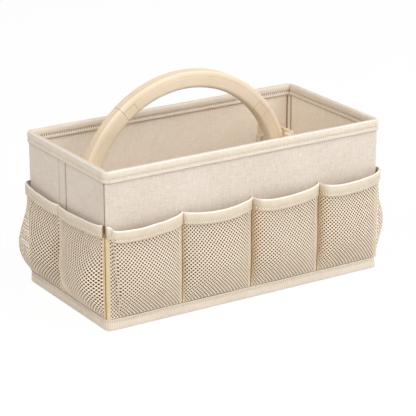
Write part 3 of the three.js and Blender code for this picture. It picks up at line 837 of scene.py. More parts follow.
CORNER_STEPS = 28
SEAM_SHARE = 0.14
SEAM_DEPTH = 1.3
SEAM_WIDTH = 0.07
LINING_SEAM_WIDTH = 0.18


def make_corners():
    for quarter, name in enumerate(CORNERS):
        x, y = corner_centre(quarter)
        seam = SEAM_SHARE if quarter % 2 == 0 else 1 - SEAM_SHARE
        sections = []
        shade = []
        for i in range(CORNER_STEPS + 1):
            share = i / CORNER_STEPS
            station = (x, y, (quarter + share) * math.pi / 2)
            sunk = SEAM_DEPTH * hump((share - seam) / SEAM_WIDTH)
            drawn = hump(share / LINING_SEAM_WIDTH) + hump((1 - share) / LINING_SEAM_WIDTH)
            inset = -WALL_INSET - BOARD + INNER_PINCH * drawn
            outer = [outward(station, -WALL_INSET - sunk, up) for up in WALL_LEVELS]
            inner = [outward(station, inset, up) for up in WALL_LEVELS]
            sections.append(outer + inner[::-1])
            # Shade is painted in the sewn seam and along the lining's drawn-in seams
            shade += [sunk / SEAM_DEPTH] * len(outer)
            shade += [min(drawn, 1.0) * INNER_SEAM_SHADE] * len(inner)
        node = f"corner_seam_{name}"
        corner = make(f"corner_cloth_{name}", sweep(sections), LINEN, "linen", [node])
        paint_net_shadow_and_lining_light(corner)
        mark(corner, SEAM_SHADE_MARK, shade)
        "front_wall" if "front" in name else "back_wall"


def cloth_slab(name, node, seed, swell):
    """A floor or bottom cloth: laid flat, with the slight rise and fall of cloth over board."""
    low, high = box_of(node)
    sections = []
    for x in stretch(low.x, high.x, CLOTH_STEP * 1.5):
        top, under = [], []
        for y in stretch(low.y, high.y, CLOTH_STEP * 1.5):
            rise = swell * (0.5 + 0.5 * ripple(x / 30, y / 26, seed))
            top.append(Vector((x, y, high.z - swell + rise)))
            under.append(Vector((x, y, low.z)))
        sections.append(top + under[::-1])
    piece = make(name, sweep(sections), LINEN, "linen", [node])


# Net pockets

# A pocket's bulge: where it is deepest, and how round its flanks and its belly are. An end's
# pocket is softer at the seam in its middle, and a long side's where it ends on its right.
LOWEST_BULGE_SHARE = 0.38
FLANK_POWER = 3
FLANK_SOFTNESS = 0.3
RIGHT_FLANK_SOFTNESS = 0.55
SEAM_FLANK_SOFTNESS = 0.5
BELLY_POWER = 2
SEAM_BELLY_POWER = 1.5
CORNER_BELLY_POWER = 6
# Pockets that stand open further on their left, by up to this much, which fades to the right and
# to the foot, and the pocket that is drawn in where it ends at the caddy's far left corner
OPEN_LEFT = {"front_3": 6.0, "front_4": 6.0}
OPEN_SOFTNESS = 0.22
OPEN_FADE, OPEN_RISE = 1.6, 1.2
DRAWN_IN, DRAWN_RATE = "back_4", 9
# The end pockets' mouths slope down by this from the caddy's corners to the seam between them.
SEAM_DIP = 4.6
# The tuck's folded edge lies this far from the pocket's start, at its foot and at its mouth.
TUCK_WIDTHS = (13.2, 5.2)
TUCK_HOLD = 0.45
TUCK_DEPTH = 1.2
TUCK_EDGE = 0.8
TUCK_ROLL = 0.09
TUCK_STEPS = 40
# The mouth drops by this at the tuck, within a step of the edge, and rises again to the right.
TUCK_SAG = 2.4
TUCK_SAG_STEP, TUCK_SAG_FADE = 22, 1.6
# Soft folds in the nets, slanting and upright
SLANTING_FOLDS, UPRIGHT_FOLDS = 0.55, 0.35
# How strongly and over which share of the width shade is painted on the left flanks
OPEN_FLANK = (0.4, 0.08)
FLANK = (0.2, 0.05)
FLANK_ON_TAPE = 0.75
# How a pocket turns round the caddy's corner, and how far past it the sewn edges meet
CORNER_TURN = 3.0
CORNER_WRAP = 2.6
# The sewn edges beside the caddy's corners are wider than those between two pockets, and there are
# finer grooves between the latter. The nets start EDGE_INSET from a seam.
EDGE_INSET = 0.6
SELVEDGE_WIDTH, CORNER_SELVEDGE_WIDTH = 2.4, 3.6
# How much shade is painted on the side of a sewn edge that faces its seam
SELVEDGE_SHADE, CORNER_SELVEDGE_SHADE = 0.25, 0.4
SEAM_GROOVE, CORNER_SEAM_GROOVE = 0.05, 0.1
SELVEDGE_THICKNESS = 1.0
SELVEDGE_ROWS = 24


def pocket_bulge(bulges, across, up, cornerward, left_softness):
    """How far a pocket's net stands off its wall: steep flanks as deep as its mouth stands open,
    and a belly that swells low down, by shares of its width and height. cornerward points to the
    caddy's corner in a pocket of an end."""
    deepest, mouth = bulges
    signed = 2 * across - 1
    from_middle = abs(signed)
    softness, power = FLANK_SOFTNESS, BELLY_POWER
    if signed * cornerward < 0:
        softness, power = SEAM_FLANK_SOFTNESS, SEAM_BELLY_POWER
    elif cornerward:
        power = CORNER_BELLY_POWER
    elif signed > 0:
        softness = RIGHT_FLANK_SOFTNESS
    elif left_softness:
        softness = left_softness
    flank = mouth * (1 - from_middle**FLANK_POWER) ** softness
    belly = (deepest - mouth) * (1 - from_middle**power)
    if up < LOWEST_BULGE_SHARE:
        return (flank + belly) * (1 - (1 - up / LOWEST_BULGE_SHARE) ** 2)
    climbed = (up - LOWEST_BULGE_SHARE) / (BAND_FOOT_SHARE - LOWEST_BULGE_SHARE)
    return flank + belly * (1 - smooth(climbed))


class Pocket:
    """A net pocket: where it starts and ends on its side, and its surface by shares."""

    def __init__(self, side, number):
        turns, run, reach, shift, count, self.bulges, self.sag = SIDES[side]
        width = 2 * run / count
        outermost = run - WALL_INSET
        first = shift - run
        self.name = f"{side}_{number}"
        self.turns = turns
        self.reach = reach - WALL_INSET + SEAT_GAP
        self.turn_at = outermost + SEAT_GAP - CORNER_TURN
        self.cornerward = 0
        if side in ("left", "right"):
            self.cornerward = -1 if number == 1 else 1
        self.tucked = self.name in TUCKED
        self.shortened = self.name in SHORTENED
        start = -outermost if number == 1 else first + width * (number - 1) + SEAT_GAP
        end = outermost if number == count else first + width * number - SEAT_GAP
        if self.tucked:
            start -= CORNER_WRAP - CORNER_TURN * (2 - math.pi / 2)
        if self.shortened:
            end -= CORNER_WRAP
        self.start = start + EDGE_INSET
        self.end = end - EDGE_INSET
        self.width = self.end - self.start
        wide = CORNER_SELVEDGE_WIDTH - EDGE_INSET
        self.flat_ends = (wide * self.tucked, wide * self.shortened)
        self.seed = 37.7 * turns + 5.3 * number
        self.steps = self.even_steps()

    def bulge(self, share, up):
        """The bulge between the sewn edges, which lie flat on the wall."""
        left, right = self.flat_ends
        share = clamped((share * self.width - left) / (self.width - left - right))
        wider = OPEN_LEFT.get(self.name, 0.0) * (1 - smooth(share * OPEN_FADE))
        wider *= min(1.0, up * OPEN_RISE)
        bulges = [bulge + wider for bulge in self.bulges]
        softness = OPEN_SOFTNESS if wider else None
        bulge = pocket_bulge(bulges, share, up, self.cornerward, softness)
        return bulge * smooth((1 - share) * DRAWN_RATE) if self.name == DRAWN_IN else bulge

    def at_corner(self, share):
        """Whether the pocket's start, at a share of 0, or its end, at 1, is at a corner."""
        return abs(self.end if share else self.start) > self.turn_at - 2 * CORNER_WRAP

    def net_ends(self):
        """Where the net starts and ends, as shares of its girth: beside the wide sewn edge at a
        wrapped corner."""
        left, right = self.flat_ends
        return left / self.girth, 1 - right / self.girth

    def painted_flank_shade(self, share):
        """How much shade is painted where a long side's pocket turns in to its left seam."""
        if self.cornerward or self.tucked:
            return 0.0
        strength, width = OPEN_FLANK if self.name in OPEN_LEFT else FLANK
        return strength * (1 - smooth(share / width))

    def even_steps(self):
        """Shares of the girth, where the net stands out most, with the width's share at each."""
        fine = [(1 - math.cos(math.pi * i / 400)) / 2 for i in range(401)]
        lengths = [0.0]
        for a, b in zip(fine, fine[1:]):
            rise = self.bulge(b, 0.6) - self.bulge(a, 0.6)
            lengths.append(lengths[-1] + math.hypot((b - a) * self.width, rise))
        self.girth = lengths[-1]
        return [(length / self.girth, share) for length, share in zip(lengths, fine)]

    def share_at(self, even):
        """The share of the width at a share of the net's own length."""
        low, high = 0, len(self.steps) - 1
        even = clamped(even)
        while high - low > 1:
            middle = (low + high) // 2
            if self.steps[middle][0] <= even:
                low = middle
            else:
                high = middle
        (a, from_share), (b, to_share) = self.steps[low], self.steps[high]
        return from_share + (to_share - from_share) * (even - a) / max(b - a, 1e-9)

    def mouth(self, share):
        """The height of the mouth."""
        height = POCKET_TOP - self.sag * math.sin(math.pi * share)
        if self.cornerward:
            height -= SEAM_DIP * (share if self.cornerward < 0 else 1 - share)
        if self.tucked:
            past = share - self.tuck_share(1)
            dropped = smooth(past * TUCK_SAG_STEP + 0.5)
            height -= TUCK_SAG * dropped * (1 - smooth(past * TUCK_SAG_FADE))
        return height

    def tuck_share(self, up):
        """Where the tuck's folded edge lies, as a share of the width."""
        foot, top = TUCK_WIDTHS
        return (foot + (top - foot) * math.sqrt(clamped(up))) / self.width

    def off_wall(self, share, up):
        """The net's bulge with its soft folds, which fade out at the seams."""
        fade = min(1.0, 12 * share, 12 * (1 - share)) * min(1.0, 6 * up)
        slant = (share - 0.5) * 60 + up * 26
        folds = SLANTING_FOLDS * ripple(slant / 9, up * 2.2, self.seed)
        folds += UPRIGHT_FOLDS * ripple(share * 9, up * 1.2, self.seed + 4)
        bulge = self.bulge(share, up) + fade * folds * (0.5 + up * 0.5)
        if self.tucked:
            held = 1 - smooth((share - self.tuck_share(up)) * self.width / TUCK_EDGE)
            bulge *= 1 - TUCK_HOLD * held
            bulge -= TUCK_DEPTH * held * min(1.0, 8 * up, 12 * share)
        return bulge

    def turned(self, along, out):
        """A place on the side, carried round the caddy's corner where a tucked pocket starts."""
        past = -self.turn_at - along
        if past <= 0 or not self.tucked:
            return along, self.reach + out
        angle = min(past / CORNER_TURN, math.pi / 2)
        beyond = max(0.0, past - CORNER_TURN * math.pi / 2)
        swing = CORNER_TURN + out
        return (
            -self.turn_at - swing * math.sin(angle),
            self.reach - CORNER_TURN + swing * math.cos(angle) - beyond,
        )

    def at(self, share, up, lift=0.0):
        """A point of the net, lifted off its surface along the normal in plan."""
        along = self.start + self.width * share
        height = POCKET_FOOT + (self.mouth(share) - POCKET_FOOT) * up
        out = self.off_wall(share, up)
        if lift:
            small = 0.004
            low, high = max(share - small, 0.0), min(share + small, 1.0)
            slope = self.off_wall(high, up) - self.off_wall(low, up)
            run = (high - low) * self.width
            long = math.hypot(slope, run)
            along -= lift * slope / long
            out += lift * run / long
        return on_side(self.turns, *self.turned(along, out), height)

    def band_up(self, share, rise):
        """The share of the pocket's height at a rise above the foot of its tape."""
        return 1 + (rise - BAND_HEIGHT) / (self.mouth(share) - POCKET_FOOT)


# The net's holes are NET_WIDE by NET_HIGH apart. A strand swells from the edge of a hole over a
# shoulder to a ridge.
NET_WIDE = 3.55
NET_HIGH = 3.65
STRAND_SWELL = 0.28
SHOULDER_SHARE = 0.3
SHOULDER_LIFT = 0.78
HOLE_CORNER_SHARE = 0.6
HOLE_SIDE_SHARE = 0.62
CELL_RING = ((2, 0), (1, 1), (0, 2), (-1, 1), (-2, 0), (-1, -1), (0, -2), (1, -1))
# How much of the full painted shade at a hole's edge is painted on a strand's shoulders
SHOULDER_SHADE = 0.3


def diamond_net(columns, rows, place):
    """Knitted net as real strands: each cell is a diamond with a rounded hole, and a strand rises
    over a shoulder to a flat ridge on both faces. place(across, up, lift) puts shares of the net's
    size on its surface."""
    wide, high = 4 * columns, 4 * rows
    points, faces, known = [], [], {}
    edges, sides = set(), set()

    def ridge(i, j, face):
        if i in (0, wide) or j in (0, high):
            face = 0
        key = (i, j, face)
        if key not in known:
            known[key] = len(points)
            if i in (0, wide):
                edges.add(len(points))
            points.append(place(i / wide, j / high, face * STRAND_SWELL))
        return known[key]

    for a in range(2 * columns + 1):
        for b in range(a % 2, 2 * rows + 1, 2):
            i, j = 2 * a, 2 * b
            ring = [(min(max(i + x, 0), wide), min(max(j + y, 0), high)) for x, y in CELL_RING]
            if not (0 < i < wide and 0 < j < high):
                outline = [p for k, p in enumerate(ring) if p != ring[k - 1]]
                for face in (1, -1):
                    faces.append([ridge(x, y, face) for x, y in outline])
                continue
            hole, shoulders = [], {1: [], -1: []}
            for k, (x, y) in enumerate(CELL_RING):
                share = HOLE_SIDE_SHARE if k % 2 else HOLE_CORNER_SHARE
                hole.append(len(points))
                edges.add(len(points))
                points.append(place((i + x * share) / wide, (j + y * share) / high, 0.0))
                share += SHOULDER_SHARE * (1 - share)
                for face, row in shoulders.items():
                    sides.add(len(points))
                    row.append(len(points))
                    lift = face * STRAND_SWELL * SHOULDER_LIFT
                    points.append(place((i + x * share) / wide, (j + y * share) / high, lift))
            for face, row in shoulders.items():
                rim = [ridge(x, y, face) for x, y in ring]
                for k in range(8):
                    n = (k + 1) % 8
                    faces.append((rim[k], rim[n], row[n], row[k]))
                    faces.append((row[k], row[n], hole[n], hole[k]))
    # Shade is painted in full at the holes' edges and the net's ends, and in part on the shoulders
    shade = [1.0 if i in edges else SHOULDER_SHADE * (i in sides) for i in range(len(points))]
    return points, faces, shade


def make_net(pocket):
    """A pocket's net, and the rolled edge of its tuck."""
    low, high = pocket.net_ends()
    columns = round(pocket.girth * (high - low) / NET_WIDE)
    flank = []

    def place(across, up, lift):
        share = pocket.share_at(low + (high - low) * across)
        flank.append(pocket.painted_flank_shade(share))
        return pocket.at(share, up, NET_THICKNESS / 2 + lift)

    points, faces, shade = diamond_net(columns, round(POCKET_HEIGHT / NET_HIGH), place)
    # Shade is painted on the pockets' left flanks too
    shade = [max(pair) for pair in zip(shade, flank)]
    skins = [(points, faces)]
    if pocket.tucked:
        sections = []
        for i in range(TUCK_STEPS + 1):
            up = 0.01 + (BAND_FOOT_SHARE - 0.01) * i / TUCK_STEPS
            share = pocket.tuck_share(up) + 0.6 * TUCK_EDGE / pocket.width
            ahead = TUCK_ROLL / pocket.width
            ring = []
            for turn in circle(8):
                lift = NET_THICKNESS + TUCK_ROLL * math.sin(turn)
                ring.append(pocket.at(share + ahead * math.cos(turn), up, lift))
            sections.append(ring)
        skins.append(sweep(sections))
        # The tuck's rolled edge gets the shoulders' painted shade
        shade += [SHOULDER_SHADE] * len(skins[1][0])
    return gathered(skins), shade


# How much shade is painted on the tape over a mouth at its turned foot, at the needle holes and at
# the back of its top edge, and where a highlight is painted along its rim
BAND_STITCH = 4
BAND_SHADE = {0: 0.7, 1: 0.3, 4: 0.9, 10: 0.5, 11: 0.7}
BAND_RIM_HIGHLIGHT = {7: 0.2, 8: 0.8, 9: 1.0}
# How much shade is painted on the tape and how thin it is where it ends in a seam, and within
# which width
END_SHADE = 0.3
CORNER_END_SHADE = 1.0
END_SHADE_WIDTH = 1.1
END_THINNING, END_THINNING_WIDTH = 0.7, 1.5


def band_profile():
    """The folded tape's outline, as heights above its foot and distances off the wall."""
    base = SEAT_GAP + NET_THICKNESS
    face = base + BAND_THICKNESS
    stitch, top = BAND_STITCH_RISE, BAND_HEIGHT
    return [
        (0.0, base + 0.05),
        (-0.1, base + BAND_THICKNESS * 0.6),
        (0.3, face + 0.12),
        (stitch - 0.6, face),
        (stitch, face - 0.32),
        (stitch + 0.6, face),
        (top * 0.55, face + 0.22),
        (top - 0.6, face + 0.15),
        (top + 0.35, base + BAND_THICKNESS * 0.85),
        (top + 0.85, base + BAND_THICKNESS * 0.3),
        (top + 0.9, base - 0.5),
        (top + 0.6, -0.05),
        (top - 0.4, -0.1),
        (top - 0.4, base - 0.1),
        (top * 0.5, base),
    ]


def make_band(pocket):
    """The folded tape over a pocket's mouth: a closed sweep with a stitch row near its foot."""
    profile = band_profile()
    sections, places, shade = [], [], []
    count = round(pocket.girth / STITCH_PITCH)
    spans = 2 * count
    for i in range(spans + 1):
        share = pocket.share_at(i / spans)
        wobble = 0.25 * ripple(share * 6, 0.5, pocket.seed)
        from_end = min(share, 1 - share) * pocket.width
        thin = END_THINNING + (1 - END_THINNING) * smooth(from_end / END_THINNING_WIDTH)
        section = []
        for rise, lift in profile:
            lift = thin * (lift + wobble * (rise / BAND_HEIGHT) ** 2 * 0.5)
            section.append(pocket.at(share, pocket.band_up(share, rise), lift))
        sections.append(section)
        # Shade is painted where the tape ends in a seam, most where it wraps a corner, and on the
        # left flanks
        wrapped = share < 0.5 if pocket.tucked else share > 0.5 and pocket.shortened
        at_end = CORNER_END_SHADE if wrapped else END_SHADE
        at_end *= 1 - smooth(from_end / END_SHADE_WIDTH)
        at_end = max(at_end, FLANK_ON_TAPE * pocket.painted_flank_shade(share))
        for k in range(len(profile)):
            needle = 1.0 if i % 2 or k != BAND_STITCH else 0.2
            shade.append(max(BAND_SHADE.get(k, 0.0) * needle, at_end))
    lift = SEAT_GAP + NET_THICKNESS + BAND_THICKNESS - 0.2
    for i in range(1, count):
        share = pocket.share_at(i / count)
        up = pocket.band_up(share, BAND_STITCH_RISE)
        centre = pocket.at(share, up, lift)
        ahead = pocket.at(min(share + 0.01, 1.0), up, lift)
        behind = pocket.at(max(share - 0.01, 0.0), up, lift)
        places.append((centre, ahead - behind, pocket.at(share, up, lift + 1) - centre))
    return sections, places, shade


def make_selvedges(pocket):
    """The net's folded edges, sewn flat to the wall along both seams of a pocket."""
    skins, shade = [], []
    for share, hand, seam in ((0, 1, pocket.start), (1, -1, pocket.end)):
        edge = seam - hand * EDGE_INSET
        width, groove, dark = SELVEDGE_WIDTH, SEAM_GROOVE, SELVEDGE_SHADE
        if pocket.at_corner(share):
            width, groove, dark = CORNER_SELVEDGE_WIDTH, CORNER_SEAM_GROOVE, CORNER_SELVEDGE_SHADE
        top = pocket.mouth(share) - BAND_HEIGHT * 0.6
        sections = []
        for i in range(SELVEDGE_ROWS + 1):
            up = POCKET_FOOT + (top - POCKET_FOOT) * i / SELVEDGE_ROWS
            sway = 0.12 * ripple(up / 9, edge, pocket.seed)
            section = []
            for turn in circle(8):
                along = edge + hand * (width / 2 + groove)
                along += width / 2 * math.copysign(abs(math.cos(turn)) ** 0.6, math.cos(turn))
                # Shade is painted on the side that faces the seam
                shade.append(dark if hand * math.cos(turn) < -0.9 else 0.0)
                out = SELVEDGE_THICKNESS / 2 * (1 + math.sin(turn)) + sway + 0.15
                section.append(on_side(pocket.turns, *pocket.turned(along, out - SEAT_GAP), up))
            sections.append(section)
        skins.append(sweep(sections))
    return gathered(skins), shade


def make_pockets():
    for side, sizes in SIDES.items():
        for number in range(1, sizes[4] + 1):
            pocket = Pocket(side, number)
            name = pocket.name
            skin, shade = make_net(pocket)
            node = f"pocket_net_{name}"
            net = make(f"net_{name}", skin, NET, "pocket_net", [node], sharp=180.0)
            # Painted shade on the net's strands
            mark(net, NET_SHADE_MARK, shade)
            sections, places, shade = make_band(pocket)
            node = f"pocket_band_{name}"
            skin = sweep(sections)
            band = make(f"mouth_tape_{name}", skin, TAPE, "pocket_tape", [node], sharp=60.0)
            mark(band, SEAM_SHADE_MARK, shade)
            # A highlight is painted along the tape's rim
            rim = [BAND_RIM_HIGHLIGHT.get(k, 0.0) for k in range(len(sections[0]))]
            mark(band, EDGE_HIGHLIGHT_MARK, rim * len(sections))
            row = stitches(f"mouth_stitches_{name}", places, "pocket_tape")
            skin, shade = make_selvedges(pocket)
            selvedge = make(f"net_selvedge_{name}", skin, NET_BINDING, "pocket_net", sharp=60.0)
            mark(selvedge, SEAM_SHADE_MARK, shade)
            low, high = pocket.net_ends()


# Handle: an arch of three segments on two feet, all of one section

grip_low, grip_high = box_of("grip")
ARCH_OFFSET = (box_of("left_upright")[0].x + box_of("right_upright")[1].x) / 2
ARCH_THICKNESS = 16.5
HALF_THICK = ARCH_THICKNESS / 2
HALF_WIDE = (grip_high.y - grip_low.y) / 2
ARCH_CORNER = 3.5
DOME_DROP = 5.3
DOME_REACH = 2.3
SOCKET_TOP = HEIGHT - 28.5
ARCH_HEIGHT = grip_high.z - HALF_THICK - SOCKET_TOP
FOOT_REACH = 102.1
ARCH_RADIUS = (FOOT_REACH**2 + ARCH_HEIGHT**2) / (2 * ARCH_HEIGHT)
ARCH_CENTRE = SOCKET_TOP + ARCH_HEIGHT - ARCH_RADIUS
SOCKET_ANGLE = math.degrees(math.asin((SOCKET_TOP - ARCH_CENTRE) / ARCH_RADIUS))
MM_TO_DEGREES = math.degrees(1 / ARCH_RADIUS)
RIGHT_SEAM = SOCKET_ANGLE + 35 * MM_TO_DEGREES
LEFT_SEAM = 180 - SOCKET_ANGLE - 64.8 * MM_TO_DEGREES
SEAM_GAP = SEAT_GAP * MM_TO_DEGREES
PARTING_LINE = 0.8
GROOVE_WIDTH = 0.8
GROOVE_DEPTH = 0.35
CAP_LENGTH = 13
CAP_THICKNESS = 1.4
CAP_OUTER_EDGE = 5.5
CAP_INNER_EDGE = 1.2
CAP_PROUD = 0.04
FOOT_THICKNESS = 7.8
FOOT_WIDTH = 29.4
FOOT_LENGTH = 26
FOOT_NECK = 10
FOOT_EDGE = 0.8


def face_depth(out):
    """How far the handle's front or back face stands from its middle plane, at a place out from the
    arch's centreline: round at the inner edge and a dome at the outer one."""
    inside = ARCH_CORNER - HALF_THICK - out
    if inside > 0:
        return HALF_WIDE - ARCH_CORNER + math.sqrt(max(ARCH_CORNER**2 - inside**2, 0.0))
    above = (out - HALF_THICK + DOME_DROP) / DOME_DROP
    if above > 0:
        return HALF_WIDE - DOME_REACH + DOME_REACH * math.sqrt(max(1 - above**2, 0.0))
    return HALF_WIDE


def arch_section():
    """The handle's section, out from the centreline and across it. The mould leaves a fine line on
    the outer face, where its halves part, and one on the front where the dome begins."""
    ridge = HALF_THICK - DOME_DROP
    side = []
    for i in range(9):
        out = ARCH_CORNER * (1 - math.cos(math.pi / 2 * i / 8)) - HALF_THICK
        side.append((out, face_depth(out)))
    side.append(((ARCH_CORNER - HALF_THICK + ridge) / 2, HALF_WIDE + 0.1))
    crown = []
    for i in range(13):
        out = ridge + DOME_DROP * math.sin(math.pi / 2 * i / 12)
        crown.append((out, face_depth(out)))
    half = GROOVE_WIDTH / 2
    groove = [
        (ridge - half, HALF_WIDE + 0.02),
        (ridge, HALF_WIDE - GROOVE_DEPTH),
        (ridge + half, face_depth(ridge + half)),
    ]
    front = [(out, -across) for out, across in side + groove + crown[2:]]
    parting = [
        (HALF_THICK, PARTING_LINE - half),
        (HALF_THICK - GROOVE_DEPTH, PARTING_LINE),
        (HALF_THICK, PARTING_LINE + half),
    ]
    return front + parting + crown[::-1] + side[::-1]


def on_arch(angle, out, across):
    turn = math.radians(angle)
    reach = ARCH_RADIUS + out
    return Vector(
        (ARCH_OFFSET + reach * math.cos(turn), across, ARCH_CENTRE + reach * math.sin(turn))
    )


def along_arch(name, section, start, end, step=1.5):
    """The mesh of a section that runs along the arch from one angle to another."""
    spans = max(2, round(abs(end - start) / step))
    angles = [start + (end - start) * i / spans for i in range(spans + 1)]
    sections = [[on_arch(angle, out, across) for out, across in section] for angle in angles]
    return mesh_of(name, *sweep(sections))


def loose(name, mesh):
    """An object of the mesh, for cutting and joining."""
    turn_faces_out(mesh)
    return placed(name, mesh)


def combined(base, others, operation):
    """The mesh of base after the others are joined to it or cut from it, which removes them all."""
    for other in others:
        step = base.modifiers.new("step", "BOOLEAN")
        step.operation = operation
        step.solver = "EXACT"
        step.object = other
    graph = bpy.context.evaluated_depsgraph_get()
    mesh = bpy.data.meshes.new_from_object(base.evaluated_get(graph))
    for piece in (base, *others):
        bpy.data.objects.remove(piece)
    return mesh


def moulded(name, mesh, node, body="handle", sharp=35.0):
    """A piece of the cream plastic that stands for a node."""
    finished(name, mesh, PLASTIC, "cream_plastic", [node], body, sharp)


def cap_section(room):
    """A cap's section, level with the handle's front face, or the space for one with some room."""
    low, high = CAP_INNER_EDGE - HALF_THICK - room, HALF_THICK - CAP_OUTER_EDGE + room
    deep = CAP_THICKNESS - HALF_WIDE + room
    if room:
        return [(low, deep), (high, deep), (high, -HALF_WIDE - 1.0), (low, -HALF_WIDE - 1.0)]
    outs = [high + (low - high) * i / 12 for i in range(13)]
    return [(low, deep), (high, deep)] + [(out, -face_depth(out) - CAP_PROUD) for out in outs]


def make_grip():
    """The middle segment, with a space cut in it for each cap, and the caps."""
    start, end = RIGHT_SEAM + SEAM_GAP / 2, LEFT_SEAM - SEAM_GAP / 2
    grip = loose("grip_body", along_arch("grip_body", arch_section(), start, end))
    space = cap_section(SEAT_GAP * 0.6)
    cutters = []
    for side, seam, hand in (("right", RIGHT_SEAM, 1), ("left", LEFT_SEAM, -1)):
        near = seam - hand * SEAM_GAP
        far = seam + hand * (SEAM_GAP + (CAP_LENGTH + SEAT_GAP) * MM_TO_DEGREES)
        cutters.append(loose("cap_space", along_arch("cap_space", space, near, far)))
        first = seam + hand * SEAM_GAP / 2
        last = seam + hand * (SEAM_GAP + CAP_LENGTH * MM_TO_DEGREES)
        cap = along_arch(f"{side}_cap", cap_section(0.0), first, last)
        moulded(f"{side}_cap", cap, f"{side}_seam_cap", sharp=30.0)
    moulded("handle_grip", combined(grip, cutters, "DIFFERENCE"), "grip")


def foot_block(name, centre, half_width, low, high):
    """A part of a foot, with rounded edges, from its lowest level to its highest."""
    half = FOOT_THICKNESS / 2
    corners = (centre - half, -half_width, low), (centre + half, half_width, high)
    work = bmesh.new()
    bmesh.ops.create_cube(work, size=1)
    for vertex in work.verts:
        for axis in range(3):
            vertex.co[axis] = corners[vertex.co[axis] > 0][axis] * MM
    rounding = {"offset": FOOT_EDGE * MM, "segments": 3, "profile": 0.5, "affect": "EDGES"}
    bmesh.ops.bevel(work, geom=work.edges[:], **rounding)
    mesh = bpy.data.meshes.new(name)
    work.to_mesh(mesh)
    work.free()
    return placed(name, mesh)


def make_leg(side, seam, hand):
    """A leg from its seam down to the socket, with its neck and tongue."""
    base = SOCKET_ANGLE - ARCH_THICKNESS * MM_TO_DEGREES
    start = base if hand > 0 else 180 - base
    end = seam - hand * SEAM_GAP / 2
    shaft = loose("shaft", along_arch("shaft", arch_section(), start, end))
    shoulder = SOCKET_TOP + SEAT_GAP
    with reshaping(shaft.data) as work:
        cut = bmesh.ops.bisect_plane(
            work,
            geom=work.verts[:] + work.edges[:] + work.faces[:],
            plane_co=(0, 0, shoulder * MM),
            plane_no=(0, 0, 1),
            clear_inner=True,
        )
        rim = [e for e in cut["geom_cut"] if isinstance(e, bmesh.types.BMEdge)]
        bmesh.ops.holes_fill(work, edges=rim)
    centre = ARCH_OFFSET + hand * FOOT_REACH
    neck_foot = SOCKET_TOP - FOOT_NECK
    neck = foot_block("neck", centre, HALF_WIDE - 0.2, neck_foot - 1, shoulder + 1.5)
    tongue = foot_block("tongue", centre, FOOT_WIDTH / 2, SOCKET_TOP - FOOT_LENGTH, neck_foot)
    moulded(f"handle_{side}_leg", combined(shaft, [neck, tongue], "UNION"), f"{side}_leg")


# Brackets and rivets

BRACKET_EDGE = 0.35
RIVET_SHANK = 1.7
RIVET_DOME = 1.6
RIVET_RIM = 0.15
RIVET_CHAMFER = 0.2


def make_upright(side):
    """A moulded bracket, with its edges rounded as a mould leaves them."""
    mesh = bpy.data.objects[f"{side}_upright"].data.copy()
    with reshaping(mesh) as work:
        bmesh.ops.remove_doubles(work, verts=work.verts, dist=0.02 * MM)
        flat = {"angle_limit": math.radians(1), "verts": work.verts, "edges": work.edges}
        bmesh.ops.dissolve_limit(work, **flat)
        edges = [e for e in work.edges if len(e.link_faces) == 2]
        sharp = [e for e in edges if e.calc_face_angle() > math.radians(40)]
        rounding = {"offset": BRACKET_EDGE * MM, "segments": 2, "profile": 0.5, "affect": "EDGES"}
        bmesh.ops.bevel(work, geom=sharp, clamp_overlap=True, **rounding)
    mesh.materials.clear()
    moulded(f"{side}_bracket", mesh, f"{side}_upright", "caddy")


def make_rivets():
    """Rivets with a domed head above the floor and a flat one below."""
    for number in range(1, 9):
        low, high = box_of(f"rivet_{number}")
        middle = (low + high) / 2
        head = (high.x - low.x) / 2
        seat = high.z - RIVET_DOME
        profile = [
            (0, low.z),
            (head - RIVET_CHAMFER, low.z),
            (head, low.z + RIVET_CHAMFER),
            (head, low.z + 0.8),
            (head - RIVET_CHAMFER, low.z + 1),
            (RIVET_SHANK, low.z + 1),
            (RIVET_SHANK, seat),
            (head - RIVET_RIM, seat),
        ]
        for turn in (math.radians(angle) for angle in range(0, 90, 12)):
            rise = RIVET_RIM + (RIVET_DOME - RIVET_RIM) * math.sin(turn)
            profile.append((head * math.cos(turn), seat + rise))
        profile.append((0, high.z))
        sections = [
            [
                Vector((middle.x + r * math.cos(turn), middle.y + r * math.sin(turn), z))
                for r, z in profile
            ]
            for turn in circle(28)
        ]
        skin = sweep(sections, looped=True)
        node = f"rivet_{number}"
        piece = make(f"floor_rivet_{number}", skin, STEEL, "steel", [node], sharp=40.0)
        with reshaping(piece.data) as work:
            bmesh.ops.remove_doubles(work, verts=work.verts, dist=0.01 * MM)
            stray = [e for e in work.edges if not e.link_faces]
            bmesh.ops.delete(work, geom=stray, context="EDGES")
            bmesh.ops.recalc_face_normals(work, faces=work.faces)


def finish_nodes():
    """The nodes that keep their own solids, all of them hidden inside, get their finish."""
    kept = {"floor_board": BOARD_MATERIAL, "left_seam_screw": STEEL, "right_seam_screw": STEEL}
    for name, material in kept.items():
        for held in bpy.data.objects[name].material_slots:
            held.material = material


# Stage

CAMERA_TARGET = Vector((3.8, 0, 66.0))
CAMERA_AZIMUTH = -32.44
CAMERA_ELEVATION = 19.64
CAMERA_DISTANCE = 1877
CAMERA_LENS = 170.57
# Soft boxes: place in metres, size in metres, power in watts and colour
LAMPS = {
    "key": ((0.9, -1.5, 1.7), 1.6, 19.5, (1, 1, 1)),
    "front": ((-0.5, -2.1, 1.3), 1.6, 14, (1, 1, 1)),
    "left": ((-1.8, -0.5, 1.9), 1.4, 25.5, (1, 0.955, 0.91)),
    "right": ((1.9, -0.4, 1.5), 1.4, 13.5, (1, 1, 1)),
}
WHITE = (1, 1, 1, 1)
WORLD_LIGHT = 0.23
FLOOR_REACH = 6.0
FLOOR_GREY = (0.88, 0.88, 0.88, 1)
